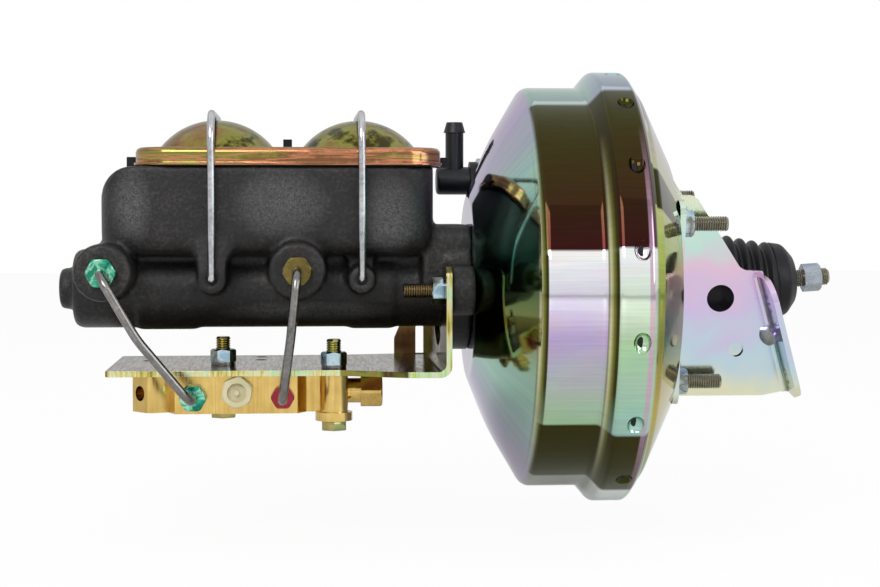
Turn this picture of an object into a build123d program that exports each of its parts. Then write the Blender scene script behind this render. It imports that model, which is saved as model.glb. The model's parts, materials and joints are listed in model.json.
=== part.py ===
from build123d import *
from math import atan2, cos, degrees, hypot, radians, tan
import os

# Power brake booster with dual master cylinder and combination valve.
# +X runs from the master cylinder to the firewall, +Z is up, millimetres.
# The origin is where the booster axis crosses the firewall plane.

# Booster drum
can_radius = 108.8
rim_step = 8.5
shell_sheet = 1.8
front_face_x = -161.0
front_hole_radius = 19.0
cone_mid_x = -149.5
cone_end_x = -131.8
lip_start_x = -102.0
rim_front_x = -95.0
rim_rear_x = -79.0
crimp = (3.2, 4.6)
rear_slope_x = -63.0
rear_face_x = -55.5
stake_count = 15
first_stake = 8.0
stake_size = 6.0
neck_radius = 23.0
neck_end_x = -24.0
rim_radius = can_radius + rim_step
front_flat_radius = can_radius * 0.46
cone_mid_radius = can_radius * 0.7233
rear_slope_radius = can_radius * 0.818
rear_flat_radius = can_radius * 0.68

# Studs, nuts and firewall brackets
stud_spacing = 85.7
stud_radius = 4.0
clock_angle = 9.6
bracket_sheet = 3.0
bracket_plate_y = 34.0
bracket_flange_y = 56.0
bracket_top_z = 56.3
bracket_bottom_z = -53.4
flange_top_z = 11.0
flange_bottom_z = -50.0
firewall_lean = 16.4
firewall_hole_radius = 4.4
firewall_hole_drop = 41.0
nut_height = 6.5
nut_across_flats = 13.0
rear_stud_length = 25.0

# Power piston, valve and pushrod
plate_clearance = 16.8
plate_sheet = 2.5
diaphragm_sheet = 1.6
hub_radius = 34.0
tube_radius = 18.5
tube_bore = 14.0
tube_end_x = -20.0
rod_radius = 4.76
rod_tilt = 3.9
pivot_x = -38.6
ball_radius = 6.0
rod_tip_x = 41.2
jam_nut_x = 26.5
jam_nut_height = 9.8
jam_nut_flats = 14.3
output_rod_radius = 4.7
reaction_radius = 14.0
running = 0.08
gap = 0.3

# Rubber boot
boot_sheet = 1.6
boot_end_x = 20.5
boot_split_x = 5.5

# Master cylinder casting
barrel_radius = 21.3
collar_radius = 22.4
barrel_left_x = -373.5
bore_radius = 14.29
bore_end_x = -362.0
flange_thickness = 13.0
flange_radius = 34.0
ear_radius = 13.0
tank_left_x = -356.6
tank_right_x = -181.2
tank_bottom_z = 18.6
tank_top_z = 65.2
tank_half_width = 42.0
tank_corner = 20.0
tank_wall = 4.2
tank_divider_x = -258.5
collars = ((-338.5, -307.9), (-224.9, -201.9))
vents = (-330.0, -246.0)
vent_radius = 3.0
split_z = 21.6
port_face_y = -55.0
front_port = (-353.4, 10.2)
rear_port = (-253.7, 11.0)
port_boss_radius = 15.0
port_thread_radius = 5.0
port_depth = 15.0
bail_pivots = (-298.0, -219.9)
bail_pivot_z = 5.8
bail_leg_y = 47.0
bail_wire = 2.0
bail_boss_y = 44.6

# Reservoir cover
cover_left_x = -338.5
cover_right_x = -177.3
cover_half_width = 43.5
cover_corner = 22.0
cover_bottom_z = 65.8
cover_top_z = 75.2
cover_sheet = 1.4
dome_centres = (-296.7, -220.2)
dome_base_radius = 31.0
dome_height = 15.5

# Pistons in the bore
piston_groove = 2.2
primary_rear_x = -166.0
primary_length = 66.0
secondary_rear_x = -262.0
secondary_length = 52.0

# Valve bracket and combination valve
shelf_top_z = -41.2
shelf_left_x = -353.3
shelf_taper_x = (-231.0, -196.0)
shelf_holes = ((-336.0, 20.0), (-274.0, 22.0), (-274.0, 42.0))
shelf_hole_radius = 3.2
shelf_near_y = -46.0
shelf_far_y = 54.0
upright_near_y = -62.0
upright_far_y = 60.0
upright_top_z = 13.3
valve_bottom_z = -64.1
valve_front_y = -42.0
valve_back_y = -3.0
valve_left_x = -340.7
valve_axis = (-22.0, -54.2)
valve_facet = (8.4, 10.0)
facet_port_radius = 4.0
facet_port_depth = 8.0
valve_bore = 5.0
valve_outlet_x = -227.1
valve_steps_x = (-329.2, -321.3, -317.6, -253.8, -249.1)
valve_grooves_x = (-296.2, -274.2)
line_radius = 2.38
valve_ports = (-308.0, -261.5)
valve_port_z = -55.4
switch_x = -285.2
switch_z = -52.5
valve_bolts_at = ((-293.6, -10.0), (-234.6, -34.0))
valve_bolt_radius = 3.97
valve_nut_flats = 12.7

# Vacuum check valve
check_y = 58.0
check_z = 59.0
check_pad_x = -150.5
check_body_x = -173.6
check_top_z = 92.7
grommet_radius = 11.0

stud_y = stud_spacing / 2
flange_face_x = front_face_x - flange_thickness
upright_x = flange_face_x - bracket_sheet
lean = radians(firewall_lean)

os.makedirs("parts", exist_ok=True)


def turned(points, radii=0.0):
    """Solid of revolution about the X axis from closed (x, r) points."""
    if isinstance(radii, (int, float)):
        radii = [radii] * len(points)
    outline = FilletPolyline(*points, radius=radii, close=True)
    return revolve(make_face(outline), Axis.X)


def inset(points, distance):
    """Open path moved sideways by a distance, with mitred corners."""
    sides = []
    for start, end in zip(points, points[1:]):
        length = hypot(end[0] - start[0], end[1] - start[1])
        sides.append(((end[0] - start[0]) / length, (end[1] - start[1]) / length))
    moved = []
    for index, point in enumerate(points):
        before = sides[max(index - 1, 0)]
        after = sides[min(index, len(sides) - 1)]
        normal = (before[1] + after[1], -before[0] - after[0])
        scale = distance * 2 / (normal[0] ** 2 + normal[1] ** 2)
        moved.append((point[0] + normal[0] * scale, point[1] + normal[1] * scale))
    return moved


def sheet_of_revolution(points, radii, sheet):
    """Turned sheet: outer path and its inset, with matching corner radii."""
    inner = inset(points, sheet)
    inner_radii = []
    for index, radius in enumerate(radii):
        if radius == 0:
            inner_radii.append(0)
            continue
        a, b, c = points[index - 1], points[index], points[index + 1]
        turn = (b[0] - a[0]) * (c[1] - b[1]) - (b[1] - a[1]) * (c[0] - b[0])
        inner_radii.append(max(radius + (sheet if turn > 0 else -sheet), 0.3))
    return turned(points + inner[::-1], list(radii) + inner_radii[::-1])


def rod_x(radius, start, end, y=0.0, z=0.0):
    """Cylinder along X between two places."""
    return Pos((start + end) / 2, y, z) * Rot(0, 90, 0) * Cylinder(radius, abs(end - start))


def rod_y(radius, start, end, x=0.0, z=0.0):
    """Cylinder along Y between two places."""
    return Pos(x, (start + end) / 2, z) * Rot(90, 0, 0) * Cylinder(radius, abs(end - start))


def rod_z(radius, start, end, x=0.0, y=0.0):
    """Cylinder along Z between two places."""
    return Pos(x, y, (start + end) / 2) * Cylinder(radius, abs(end - start))


def block(x, y, z):
    """Box between pairs of coordinates."""
    centre = Pos((x[0] + x[1]) / 2, (y[0] + y[1]) / 2, (z[0] + z[1]) / 2)
    return centre * Box(abs(x[1] - x[0]), abs(y[1] - y[0]), abs(z[1] - z[0]))


def hexagon(flats, height):
    """Upright hexagon bar standing on z = 0, with chamfered top corners."""
    bar = extrude(RegularPolygon(flats / 2, 6, major_radius=False), height)
    cone = Pos(0, 0, height / 2) * Cylinder(flats / 2 * 1.09, height)
    return bar & chamfer(cone.edges().sort_by(Axis.Z)[-1], flats * 0.06)


def clocked(shape):
    """Turn a shape with the stud pattern about the booster axis."""
    return Rot(clock_angle, 0, 0) * shape


def coil(wire, radius, start, end, turns, y=0.0, z=0.0, end_radius=None):
    """Compression spring along X, its wire centre at the given radius."""
    length = end - start
    cone = 0.0 if end_radius is None else degrees(atan2(end_radius - radius, length))
    path = Helix(length / turns, length, radius, cone_angle=cone)
    section = Plane(path @ 0, z_dir=path % 0) * RegularPolygon(wire, 8)
    return Pos(start, y, z) * Rot(0, 90, 0) * sweep(section, path, is_frenet=True)


def wire_run(points, radius, corners):
    """Round wire or tube along straight runs joined by arcs."""
    path = FilletPolyline(*points, radius=corners)
    return sweep(Plane(path @ 0, z_dir=path % 0) * Circle(radius), path)


def save(name, shape):
    """Write one node."""
    export_step(shape if isinstance(shape, Compound) else Compound([shape]), f"parts/{name}.step")


front_path = [
    (front_face_x, front_hole_radius),
    (front_face_x, front_flat_radius),
    (cone_mid_x, cone_mid_radius),
    (cone_end_x, can_radius),
    (lip_start_x, can_radius),
    (rim_front_x, rim_radius),
    (rim_rear_x, rim_radius),
    (rim_rear_x + crimp[0], rim_radius - crimp[1]),
]
front_radii = [0, 10, 300, 6, 4, 4, 2.4, 0]


def front_shell():
    """Front housing: conical drum whose rim wraps the rear housing."""
    shell = sheet_of_revolution(front_path, front_radii, shell_sheet)
    seat_outer = rod_x(13.0, check_pad_x, cone_end_x, check_y, check_z)
    seat_inner = rod_x(13.0 - shell_sheet, check_pad_x + shell_sheet, cone_end_x + 1, check_y, check_z)
    drum = turned([(front_face_x, 0)] + front_path[:4] + [(cone_end_x, 0)], [0, 0] + front_radii[1:3] + [0, 0])
    shell -= rod_x(13.0, front_face_x - 1, cone_end_x, check_y, check_z)
    shell += (seat_outer - seat_inner) & (drum + seat_ring())
    shell -= rod_x(grommet_radius - 2.5, check_pad_x - 1, cone_end_x, check_y, check_z)
    for side in (-1, 1):
        shell -= rod_x(stud_radius, front_face_x - 1, front_face_x + 4, side * stud_y)
    for index in range(stake_count):
        angle = first_stake + index * 360 / stake_count
        stake = Pos(rim_rear_x - 0.6, 0, rim_radius + 1.2) * Rot(0, 38, 0) * Box(stake_size, stake_size, 2.6)
        shell -= Rot(angle + 90, 0, 0) * stake
    return shell


def seat_ring():
    """Raised flat that carries the check valve grommet."""
    return rod_x(13.0, check_pad_x, cone_mid_x + 12, check_y, check_z)


rear_path = [
    (rim_rear_x - 0.95, rim_radius - shell_sheet - 0.3),
    (rim_rear_x + 1.4, rim_radius - shell_sheet - crimp[1]),
    (rim_rear_x + 6.5, can_radius - 0.5),
    (rear_slope_x, rear_slope_radius),
    (rear_face_x, rear_flat_radius),
    (rear_face_x, neck_radius),
    (neck_end_x, neck_radius),
]


def stud_places():
    """Centres (y, z) of the four rear studs before clocking."""
    return [(sy * stud_y, sz * stud_y) for sy in (-1, 1) for sz in (-1, 1)]


def rear_shell():
    """Rear housing: dished disc with the neck that guides the power piston."""
    path = rear_path[::-1]
    shell = sheet_of_revolution(path, [0, 4, 8, 40, 5, 0.9, 0], -shell_sheet)
    for y, z in stud_places():
        shell -= clocked(rod_x(stud_radius, rear_face_x - 4, rear_face_x + 1, y, z))
    return shell


def rear_studs():
    """Four studs pressed through the rear housing, heads inside."""
    studs = []
    for y, z in stud_places():
        head = rod_x(7.5, rear_face_x - shell_sheet - 3, rear_face_x - shell_sheet, y, z)
        shank = rod_x(stud_radius, rear_face_x - shell_sheet, rear_face_x + bracket_sheet + rear_stud_length, y, z)
        tip = rear_face_x + bracket_sheet + rear_stud_length
        shank = chamfer(shank.edges().filter_by_position(Axis.X, tip - 0.01, tip + 0.01), 0.9)
        studs.append(clocked(head + shank))
    return Compound(studs)


def nuts_along_x(places, seat_x, direction, flats, height, bore):
    """Hexagon nuts on studs that run along X."""
    nuts = []
    for y, z in places:
        nut = hexagon(flats, height) - Cylinder(bore, 4 * height)
        nuts.append(Pos(seat_x, y, z) * Rot(0, 90 * direction, 0) * nut)
    return nuts


def rear_nuts():
    """Nuts that hold the firewall brackets on the rear studs."""
    nuts = nuts_along_x(stud_places(), rear_face_x + bracket_sheet, 1, nut_across_flats, nut_height, stud_radius)
    return Compound([clocked(nut) for nut in nuts])


def firewall_bracket(side):
    """Side plate with a base flange on the booster and a leaning firewall flange."""
    inner_y = bracket_plate_y - bracket_sheet
    rear_low = -flange_bottom_z * tan(lean)
    plate_top_z = flange_top_z + 4.5
    rear_high = -plate_top_z * tan(lean)
    outline = FilletPolyline(
        (rear_face_x, bracket_top_z),
        (-43.0, bracket_top_z),
        (-16.5, plate_top_z + 0.5),
        (rear_high, plate_top_z),
        (rear_low, flange_bottom_z),
        (-2.0, bracket_bottom_z),
        (rear_face_x, bracket_bottom_z),
        radius=[0, 6, 7, 2, 2, 4, 0], close=True)
    plate = extrude(Plane.XZ * make_face(outline), bracket_sheet)
    plate = Pos(0, -inner_y, 0) * plate
    base = block((rear_face_x, rear_face_x + bracket_sheet), (-bracket_flange_y, -inner_y),
                 (bracket_bottom_z, bracket_top_z))
    base = fillet(base.edges().filter_by(Axis.X).group_by(Axis.Y)[0], 7)
    slope = FilletPolyline(
        (-inner_y, flange_top_z + 3),
        (-bracket_flange_y, flange_top_z + 3),
        (-bracket_flange_y, flange_bottom_z / cos(lean)),
        (-inner_y, flange_bottom_z / cos(lean)),
        radius=[0, 12, 9, 0], close=True)
    flange = extrude(Plane.YZ * make_face(slope), -bracket_sheet)
    flange = Rot(0, -firewall_lean, 0) * flange
    body = plate + base + flange
    bend = Pos(rear_face_x + bracket_sheet, -bracket_plate_y, (bracket_top_z + bracket_bottom_z) / 2)
    corner = Box(2, 2, bracket_top_z - bracket_bottom_z, align=(Align.MIN, Align.MAX, Align.CENTER))
    round_cut = Pos(2, -2, 0) * Cylinder(2, 200)
    body += bend * (corner - round_cut)
    outer = Pos(rear_face_x, -inner_y, (bracket_top_z + bracket_bottom_z) / 2)
    outer_corner = Box(5, 5, 200, align=(Align.MIN, Align.MAX, Align.CENTER))
    body -= outer * (outer_corner - Pos(5, -5, 0) * Cylinder(5, 200))
    fold_z = (flange_top_z + 3 + flange_bottom_z / cos(lean)) / 2
    fold_height = flange_top_z + 3 - flange_bottom_z / cos(lean)
    fold = Rot(0, -firewall_lean, 0) * Pos(-bracket_sheet, -bracket_plate_y, fold_z)
    fold_corner = Box(3, 3, fold_height, align=(Align.MAX, Align.MAX, Align.CENTER))
    body += fold * (fold_corner - Pos(-3, -3, 0) * Cylinder(3, 200))
    rear = Rot(0, -firewall_lean, 0) * Pos(0, -inner_y, 0)
    rear_corner = Box(5, 5, 300, align=(Align.MAX, Align.MAX, Align.CENTER))
    body -= rear * (rear_corner - Pos(-5, -5, 0) * Cylinder(5, 300))
    dart = Rot(0, -firewall_lean, 0) * Pos(-bracket_sheet, -bracket_plate_y, fold_z) * Rot(0, 0, 45)
    gusset = dart * Rot(0, 90, 0) * Cylinder(4.5, 12)
    corner_space = Rot(0, -firewall_lean, 0) * Pos(-bracket_sheet, -bracket_plate_y, fold_z)
    body += gusset & (corner_space * Box(8, 8, 12, align=(Align.MAX, Align.MAX, Align.CENTER)))
    body -= rod_y(7.4, -60, 0, -27.3, 0.6)
    body -= rod_y(4.05, -60, 0, -17.6, -27.7)
    for z in (-stud_y, stud_y):
        body -= rod_x(stud_radius + 0.3, rear_face_x - 1, rear_face_x + 6, -stud_y, z)
    for drop in (0, firewall_hole_drop):
        hole = Rot(0, -firewall_lean, 0) * rod_x(firewall_hole_radius, -12, 6, -stud_y, -drop)
        body -= hole
    if side > 0:
        body = mirror(body, Plane.XZ)
    return clocked(body)


def piston_profile():
    """Front hub, rear tube and stepped bore of the power piston."""
    front = piston_front_x
    return [
        (front, 6.0),
        (front, hub_radius - 8),
        (front + 10, hub_radius - 8),
        (front + 10, hub_radius),
        (front + 26, hub_radius),
        (front + 26, tube_radius),
        (tube_end_x, tube_radius),
        (tube_end_x, tube_bore),
        (pivot_x - 9, tube_bore),
        (pivot_x - 9, 9.2),
        (front + 12, 9.2),
        (front + 12, reaction_radius),
        (front + 3, reaction_radius),
        (front + 3, 6.0),
    ]


piston_front_x = rear_face_x - 35.0


def power_piston():
    """Valve body that the diaphragm pushes forward."""
    body = turned(piston_profile())
    for index in range(6):
        passage = Rot(index * 60, 0, 0) * rod_x(2.5, piston_front_x + 15, piston_front_x + 27, 0, 26)
        body -= passage
    return body


plate_start_x = piston_front_x + 14.0
plate_radius = can_radius - plate_clearance
plate_path = [
    (plate_start_x + 12, hub_radius + running),
    (plate_start_x + 1.5, hub_radius + running),
    (plate_start_x + 1.5, hub_radius + 10),
    (plate_start_x + 8, hub_radius + 26),
    (plate_start_x + 8, plate_radius - 10),
    (plate_start_x - 2, plate_radius),
    (plate_start_x - 8, plate_radius),
]


def diaphragm_plate():
    """Pressed plate that stiffens the diaphragm."""
    return sheet_of_revolution(plate_path, [0, 1.2, 5, 6, 6, 4, 0], plate_sheet)


def diaphragm():
    """Rolling rubber diaphragm behind its plate, its bead clamped between the two housings."""
    start = plate_start_x
    rim_inner = rim_radius - shell_sheet - 0.2
    path = inset(plate_path, plate_sheet + 0.4)[1:4] + [
        (start + plate_sheet + 8.4, plate_radius - 8),
        (start + 1.2, plate_radius + 3.0),
        (start - 9, plate_radius + 3.0),
        (start - 9, can_radius - 5.8),
        (rim_rear_x - 7.2, can_radius - 1.6),
        (rim_rear_x - 7.2, rim_inner - 2.0),
    ]
    skin = sheet_of_revolution(path, [0, 3, 5, 5, 4, 3.2, 3.2, 3, 0], diaphragm_sheet)
    bead = turned([
        (rim_rear_x - 9.5, can_radius + 1.5),
        (rim_rear_x - 9.5, rim_inner - 0.2),
        (rim_rear_x - 5.0, rim_inner - 0.2),
        (rim_rear_x - 5.0, can_radius + 1.5),
    ], 1.2)
    return skin + bead


def reaction_disc():
    """Rubber disc between the valve plunger and the output rod."""
    return rod_x(reaction_radius - 0.2, piston_front_x + 7.0, piston_front_x + 12.0 - 0.05)


def output_rod():
    """Pushrod from the power piston to the primary piston."""
    head = rod_x(reaction_radius - 0.2, piston_front_x + 3.0, piston_front_x + 6.95)
    shank = rod_x(output_rod_radius, primary_rear_x - 12.0 + gap, piston_front_x + 4)
    tip = shank.edges().sort_by(Axis.X)[0]
    return head + fillet(tip, output_rod_radius * 0.8)


def return_spring():
    """Conical spring that sends the power piston back."""
    start = front_face_x + shell_sheet + 2.0 + 1.7
    return coil(2.0, 40.0, start, piston_front_x + 10.0 - 2.1, 3.5, end_radius=30.0)


def front_seal():
    """Rubber seal and retainer round the output rod."""
    inner = front_face_x + shell_sheet
    return turned([
        (inner, output_rod_radius + 0.05),
        (inner, 24.0),
        (inner + 2.0, 24.0),
        (inner + 5.5, 12.0),
        (inner + 5.5, output_rod_radius + 0.05),
    ], [0, 0.8, 1.5, 2, 0])


def rear_seal():
    """Lip seal and bearing between the neck and the power piston tube."""
    outer = neck_radius - shell_sheet
    start = rear_face_x + 2.0
    return turned([
        (start, tube_radius + running),
        (start, outer),
        (start + 9, outer),
        (start + 9, tube_radius + running),
    ], 0.4)


def air_filter():
    """Felt ring in the end of the power piston tube."""
    return turned([
        (tube_end_x - 10, rod_radius + 2.6),
        (tube_end_x - 10, tube_bore - 0.1),
        (tube_end_x - 1, tube_bore - 0.1),
        (tube_end_x - 1, rod_radius + 2.6),
    ], 0.8)


def valve_plunger():
    """Plunger that the pushrod ball pushes on the reaction disc."""
    front = piston_front_x + 12.0 + 1.9
    end = pivot_x + 3.0
    body = turned([
        (front, 0),
        (front, 5.0),
        (pivot_x - 18, 5.0),
        (pivot_x - 18, 9.2 - running),
        (end, 9.2 - running),
        (end, 0),
    ])
    socket = Pos(pivot_x, 0, 0) * Sphere(ball_radius + running)
    mouth = turned([(pivot_x, 0), (pivot_x, rod_radius + 0.4), (end + 1, rod_radius + 1.4), (end + 1, 0)])
    return body - socket - mouth


def poppet():
    """Rubber valve ring that the plunger opens."""
    return turned([
        (pivot_x - 8.6, 9.6),
        (pivot_x - 8.6, tube_bore - 0.1),
        (pivot_x - 5.0, tube_bore - 0.1),
        (pivot_x - 5.0, 9.6),
    ], 0.5)


def poppet_spring():
    """Light spring that closes the poppet."""
    return coil(0.6, 12.3, pivot_x - 4.2, tube_end_x - 10.8, 3)


def tilted(shape):
    """Turn a shape with the pushrod about the pivot ball."""
    return Pos(pivot_x, 0, 0) * Rot(0, -rod_tilt, 0) * Pos(-pivot_x, 0, 0) * shape


def pushrod():
    """Threaded pushrod with its ball."""
    rod = rod_x(rod_radius, pivot_x, rod_tip_x)
    rod = chamfer(rod.edges().sort_by(Axis.X)[-1], 1.0)
    return tilted(rod + Pos(pivot_x, 0, 0) * Sphere(ball_radius))


def pushrod_nut():
    """Jam nut on the pushrod."""
    nut = hexagon(jam_nut_flats, jam_nut_height) - Cylinder(rod_radius, 60)
    return tilted(Pos(jam_nut_x, 0, 0) * Rot(0, 90, 0) * nut)


def boot_bellows():
    """Ribbed front half of the rubber boot, on the neck of the rear housing."""
    crest = 28.7
    valley = 23.5
    pitch = 7.0
    path = [(neck_end_x - 20, neck_radius + boot_sheet + 0.05), (-21.5, neck_radius + boot_sheet + 0.05)]
    radii = [0, 1]
    for index in range(4):
        x = -16.1 + index * pitch
        taper = 1.2 * index
        path.append((x, crest - taper))
        radii.append(1.4)
        if index < 3:
            path.append((x + pitch / 2, valley - taper))
            radii.append(1.2)
    path.append((boot_split_x + 3.0, 21.0))
    radii.append(0)
    return sheet_of_revolution(path, radii, boot_sheet)


def boot_cap():
    """Rounded rear half of the boot, closed on the pushrod."""
    path = [
        (boot_split_x + 4.3, 20.6),
        (boot_end_x - 5.5, 19.6),
        (boot_end_x, 13.0),
        (boot_end_x, rod_radius + 0.05),
    ]
    return tilted(sheet_of_revolution(path, [0, 5, 4, 0], boot_sheet))


def tank_block(inward, bottom_z, top_z, left_x, right_x):
    """Rounded block in the plan of the reservoir."""
    half = tank_half_width - inward
    body = block((left_x, right_x), (-half, half), (bottom_z, top_z))
    return fillet(body.edges().filter_by(Axis.Z), tank_corner - inward)


def reservoir_solid():
    """Outside of the reservoir before it is hollowed."""
    body = tank_block(0, tank_bottom_z, tank_top_z, tank_left_x, tank_right_x)
    body = fillet(body.edges().group_by(Axis.Z)[0], 11)
    shoulder = tank_left_x - cover_left_x
    corner = Box(-shoulder, 200, -shoulder, align=(Align.MIN, Align.CENTER, Align.MAX))
    corner = Pos(tank_left_x, 0, tank_top_z) * corner
    round_off = Pos(tank_left_x - shoulder, 0, tank_top_z + shoulder) * Rot(90, 0, 0) * Cylinder(-shoulder, 200)
    return body - (corner - round_off)


def chamber(left_x, right_x, mouth_x):
    """Fluid space of one circuit, its mouth starting at mouth_x."""
    half = tank_half_width - tank_wall
    body = block((left_x, right_x), (-half, half), (tank_bottom_z + tank_wall + 2, tank_top_z - tank_wall))
    body = fillet(body.edges().filter_by(Axis.Z), 13)
    body = fillet(body.edges().group_by(Axis.Z)[0], 6)
    body = fillet(body.edges().group_by(Axis.Z)[-1], 9)
    mouth = block((mouth_x, right_x), (-half, half), (tank_bottom_z + 24, tank_top_z + 1))
    return body + fillet(mouth.edges().filter_by(Axis.Z), 13)


def casting():
    """Whole casting of the master cylinder: reservoir, barrel, ports and flange."""
    body = rod_x(barrel_radius, barrel_left_x, flange_face_x)
    body = fillet(body.edges().sort_by(Axis.X)[0], 5)
    nub = rod_x(11.2, barrel_left_x - 7.7, barrel_left_x + 4)
    body += fillet(nub.edges().sort_by(Axis.X)[0], 3)
    for left_x, right_x in collars:
        body += rod_x(collar_radius, left_x, right_x)
    body += reservoir_solid()
    body += block((tank_left_x + 12, tank_right_x - 4), (-17, 17), (6, tank_bottom_z + 8))
    flange = rod_x(flange_radius, flange_face_x, front_face_x)
    for side in (-1, 1):
        flange += rod_x(ear_radius, flange_face_x, front_face_x, side * stud_y)
        flange += block((flange_face_x, front_face_x), (0, side * stud_y), (-ear_radius, ear_radius))
    web = block((tank_right_x - 6, front_face_x), (-28, 28), (0, 34.5))
    web = fillet(web.edges().filter_by(Axis.X).group_by(Axis.Z)[-1], 8)
    body += flange + web
    body += rod_x(18.8, front_face_x - 1, front_face_x + shell_sheet)
    for x, z in (front_port, rear_port):
        boss = rod_y(port_boss_radius, port_face_y, -8, x, z)
        body += chamfer(boss.edges().sort_by(Axis.Y)[0], 1.2)
    for side in (-1, 1):
        for x, width in zip(bail_pivots, (7.5, 7.2)):
            inner = side * 18
            outer = side * bail_boss_y
            body += rod_y(width, inner, outer, x, bail_pivot_z)
            body += block((x - width, x + width), (inner, outer), (bail_pivot_z, bail_pivot_z + 32))
            body -= rod_y(bail_wire + 0.15, side * (bail_boss_y - 9), side * (bail_boss_y + 1), x, bail_pivot_z)
    body -= chamber(tank_left_x + tank_wall, tank_divider_x - 2, cover_left_x + 6)
    body -= chamber(tank_divider_x + 2, tank_right_x - tank_wall, tank_divider_x + 2)
    body -= rod_x(bore_radius, bore_end_x, front_face_x + 5)
    body -= rod_x(bore_radius + 1.2, front_face_x - 3.5, front_face_x - 2.1)
    for x in vents:
        body -= rod_z(vent_radius, bore_radius - 4, tank_bottom_z + 10, x)
    for x, z in (front_port, rear_port):
        body -= rod_y(port_thread_radius, port_face_y - 1, port_face_y + port_depth, x, z)
        drill_x = max(x, bore_end_x + 6)
        body -= rod_y(1.6, port_face_y + port_depth - 1, -bore_radius + 6, drill_x, z)
    for side in (-1, 1):
        body -= rod_x(stud_radius + 0.3, flange_face_x - 1, front_face_x + 1, side * stud_y)
    return body


def cylinder_body():
    """Lower half of the casting: barrel, ports, bail bosses and flange."""
    return casting() - above_split()


def reservoir_body():
    """Upper half of the casting: the two fluid chambers, so that it can be hollow in collision."""
    return casting() & above_split()


def above_split():
    """Space over the plane where the casting is parted into its two nodes."""
    return block((cover_left_x - 60, flange_face_x), (-90, 90), (split_z, tank_top_z + 20))


def tube_seats():
    """Brass cones at the bottom of the two outlet ports."""
    seats = []
    for x, z in (front_port, rear_port):
        end = port_face_y + port_depth
        base = rod_y(port_thread_radius, end - 2.5, end, x, z)
        cone = Pos(x, end - 4.5, z) * Rot(90, 0, 0) * Cone(port_thread_radius - 0.6, 2.6, 4.0)
        seats.append(base + cone - rod_y(1.6, end - 10, end + 1, x, z))
    return Compound(seats)


def cover_plan(grow, bottom_z, top_z):
    """Rounded plate in the plan of the cover."""
    half = cover_half_width + grow
    body = block((cover_left_x - grow, cover_right_x + grow), (-half, half), (bottom_z, top_z))
    return fillet(body.edges().filter_by(Axis.Z), cover_corner + grow)


def dome(centre_x, base_radius, base_z, height):
    """Spherical cap on the cover."""
    radius = (base_radius ** 2 + height ** 2) / (2 * height)
    ball = Pos(centre_x, 0, base_z + height - radius) * Sphere(radius)
    return ball & rod_z(base_radius, base_z - 1, base_z + height + 1, centre_x)


def reservoir_cover():
    """Pressed cover with a skirt and two domes."""
    outer = fillet(cover_plan(0, cover_bottom_z, cover_top_z).edges().group_by(Axis.Z)[-1], 3)
    outer += cover_plan(1.0, cover_bottom_z, cover_bottom_z + 1.5)
    inner = cover_plan(-cover_sheet, cover_bottom_z - 1, cover_top_z - cover_sheet)
    for x in dome_centres:
        outer += dome(x, dome_base_radius, cover_top_z, dome_height)
        inner += dome(x, dome_base_radius - cover_sheet, cover_top_z - cover_sheet, dome_height)
    return outer - inner


def cover_gasket():
    """Rubber gasket under the cover, with its pull tabs."""
    inward = cover_sheet + 0.3
    body = cover_plan(-inward, tank_top_z, cover_bottom_z + 2)
    for x in dome_centres:
        body -= rod_z(dome_base_radius - 4, tank_top_z - 1, cover_bottom_z + 3, x)
    for x, way in ((cover_left_x, -1), (cover_right_x, 1)):
        body += block((x - way * 3, x + way * 5), (-5, 5), (tank_top_z, cover_bottom_z - 0.05))
        body += block((x + way * 1.8, x + way * 6.5), (-4, 4), (tank_top_z, cover_bottom_z + 5))
    far = cover_half_width + 1.0
    body += block((-263, -255), (far - 4, far + 2), (tank_top_z, cover_bottom_z - 0.05))
    body += block((-261.5, -256.5), (far + 0.4, far + 3), (tank_top_z, cover_top_z + 7))
    return body


def bail(pivot_x_place):
    """Wire bail over the cover, its ends hooked into the casting."""
    crest = cover_top_z + dome_height + bail_wire + 0.1
    hook = bail_boss_y - 6
    points = []
    for y, z in ((-hook, bail_pivot_z), (-bail_leg_y, bail_pivot_z), (-bail_leg_y, crest),
                 (bail_leg_y, crest), (bail_leg_y, bail_pivot_z), (hook, bail_pivot_z)):
        points.append((pivot_x_place, y, z))
    return wire_run(points, bail_wire, [2.6, 15, 15, 2.6])


def primary_piston():
    """Rear piston, pushed by the output rod."""
    front = primary_rear_x - primary_length
    body = rod_x(bore_radius - running, front, primary_rear_x)
    body -= rod_x(output_rod_radius + 1.5, primary_rear_x - 12, primary_rear_x + 1)
    for x in (front + 4, primary_rear_x - 10):
        body -= rod_x(bore_radius, x, x + 5) - rod_x(bore_radius - piston_groove, x - 1, x + 6)
    body -= rod_x(bore_radius - 2.6, front + 16, primary_rear_x - 18) - rod_x(7, front, primary_rear_x)
    return body


def secondary_piston():
    """Floating front piston."""
    front = secondary_rear_x - secondary_length
    body = rod_x(bore_radius - running, front, secondary_rear_x)
    for x in (front + 4, secondary_rear_x - 9):
        body -= rod_x(bore_radius, x, x + 5) - rod_x(bore_radius - piston_groove, x - 1, x + 6)
    body -= rod_x(bore_radius - 2.6, front + 14, secondary_rear_x - 15) - rod_x(7, front, secondary_rear_x)
    return body


def piston_cups(front, rear, last_offset):
    """Two rubber cups in the grooves of a piston."""
    cups = []
    for x in (front + 4, rear - last_offset):
        cup = rod_x(bore_radius - running, x + 0.2, x + 4.8) - rod_x(bore_radius - piston_groove + 0.02, x, x + 5)
        cups.append(cup)
    return Compound(cups)


def retaining_ring():
    """Ring that holds the primary piston in the bore."""
    ring = rod_x(bore_radius + 1.1, front_face_x - 3.4, front_face_x - 2.2)
    ring -= rod_x(bore_radius - 3.0, front_face_x - 5, front_face_x)
    return ring - block((front_face_x - 5, front_face_x), (-3, 3), (-30, -8))


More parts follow.
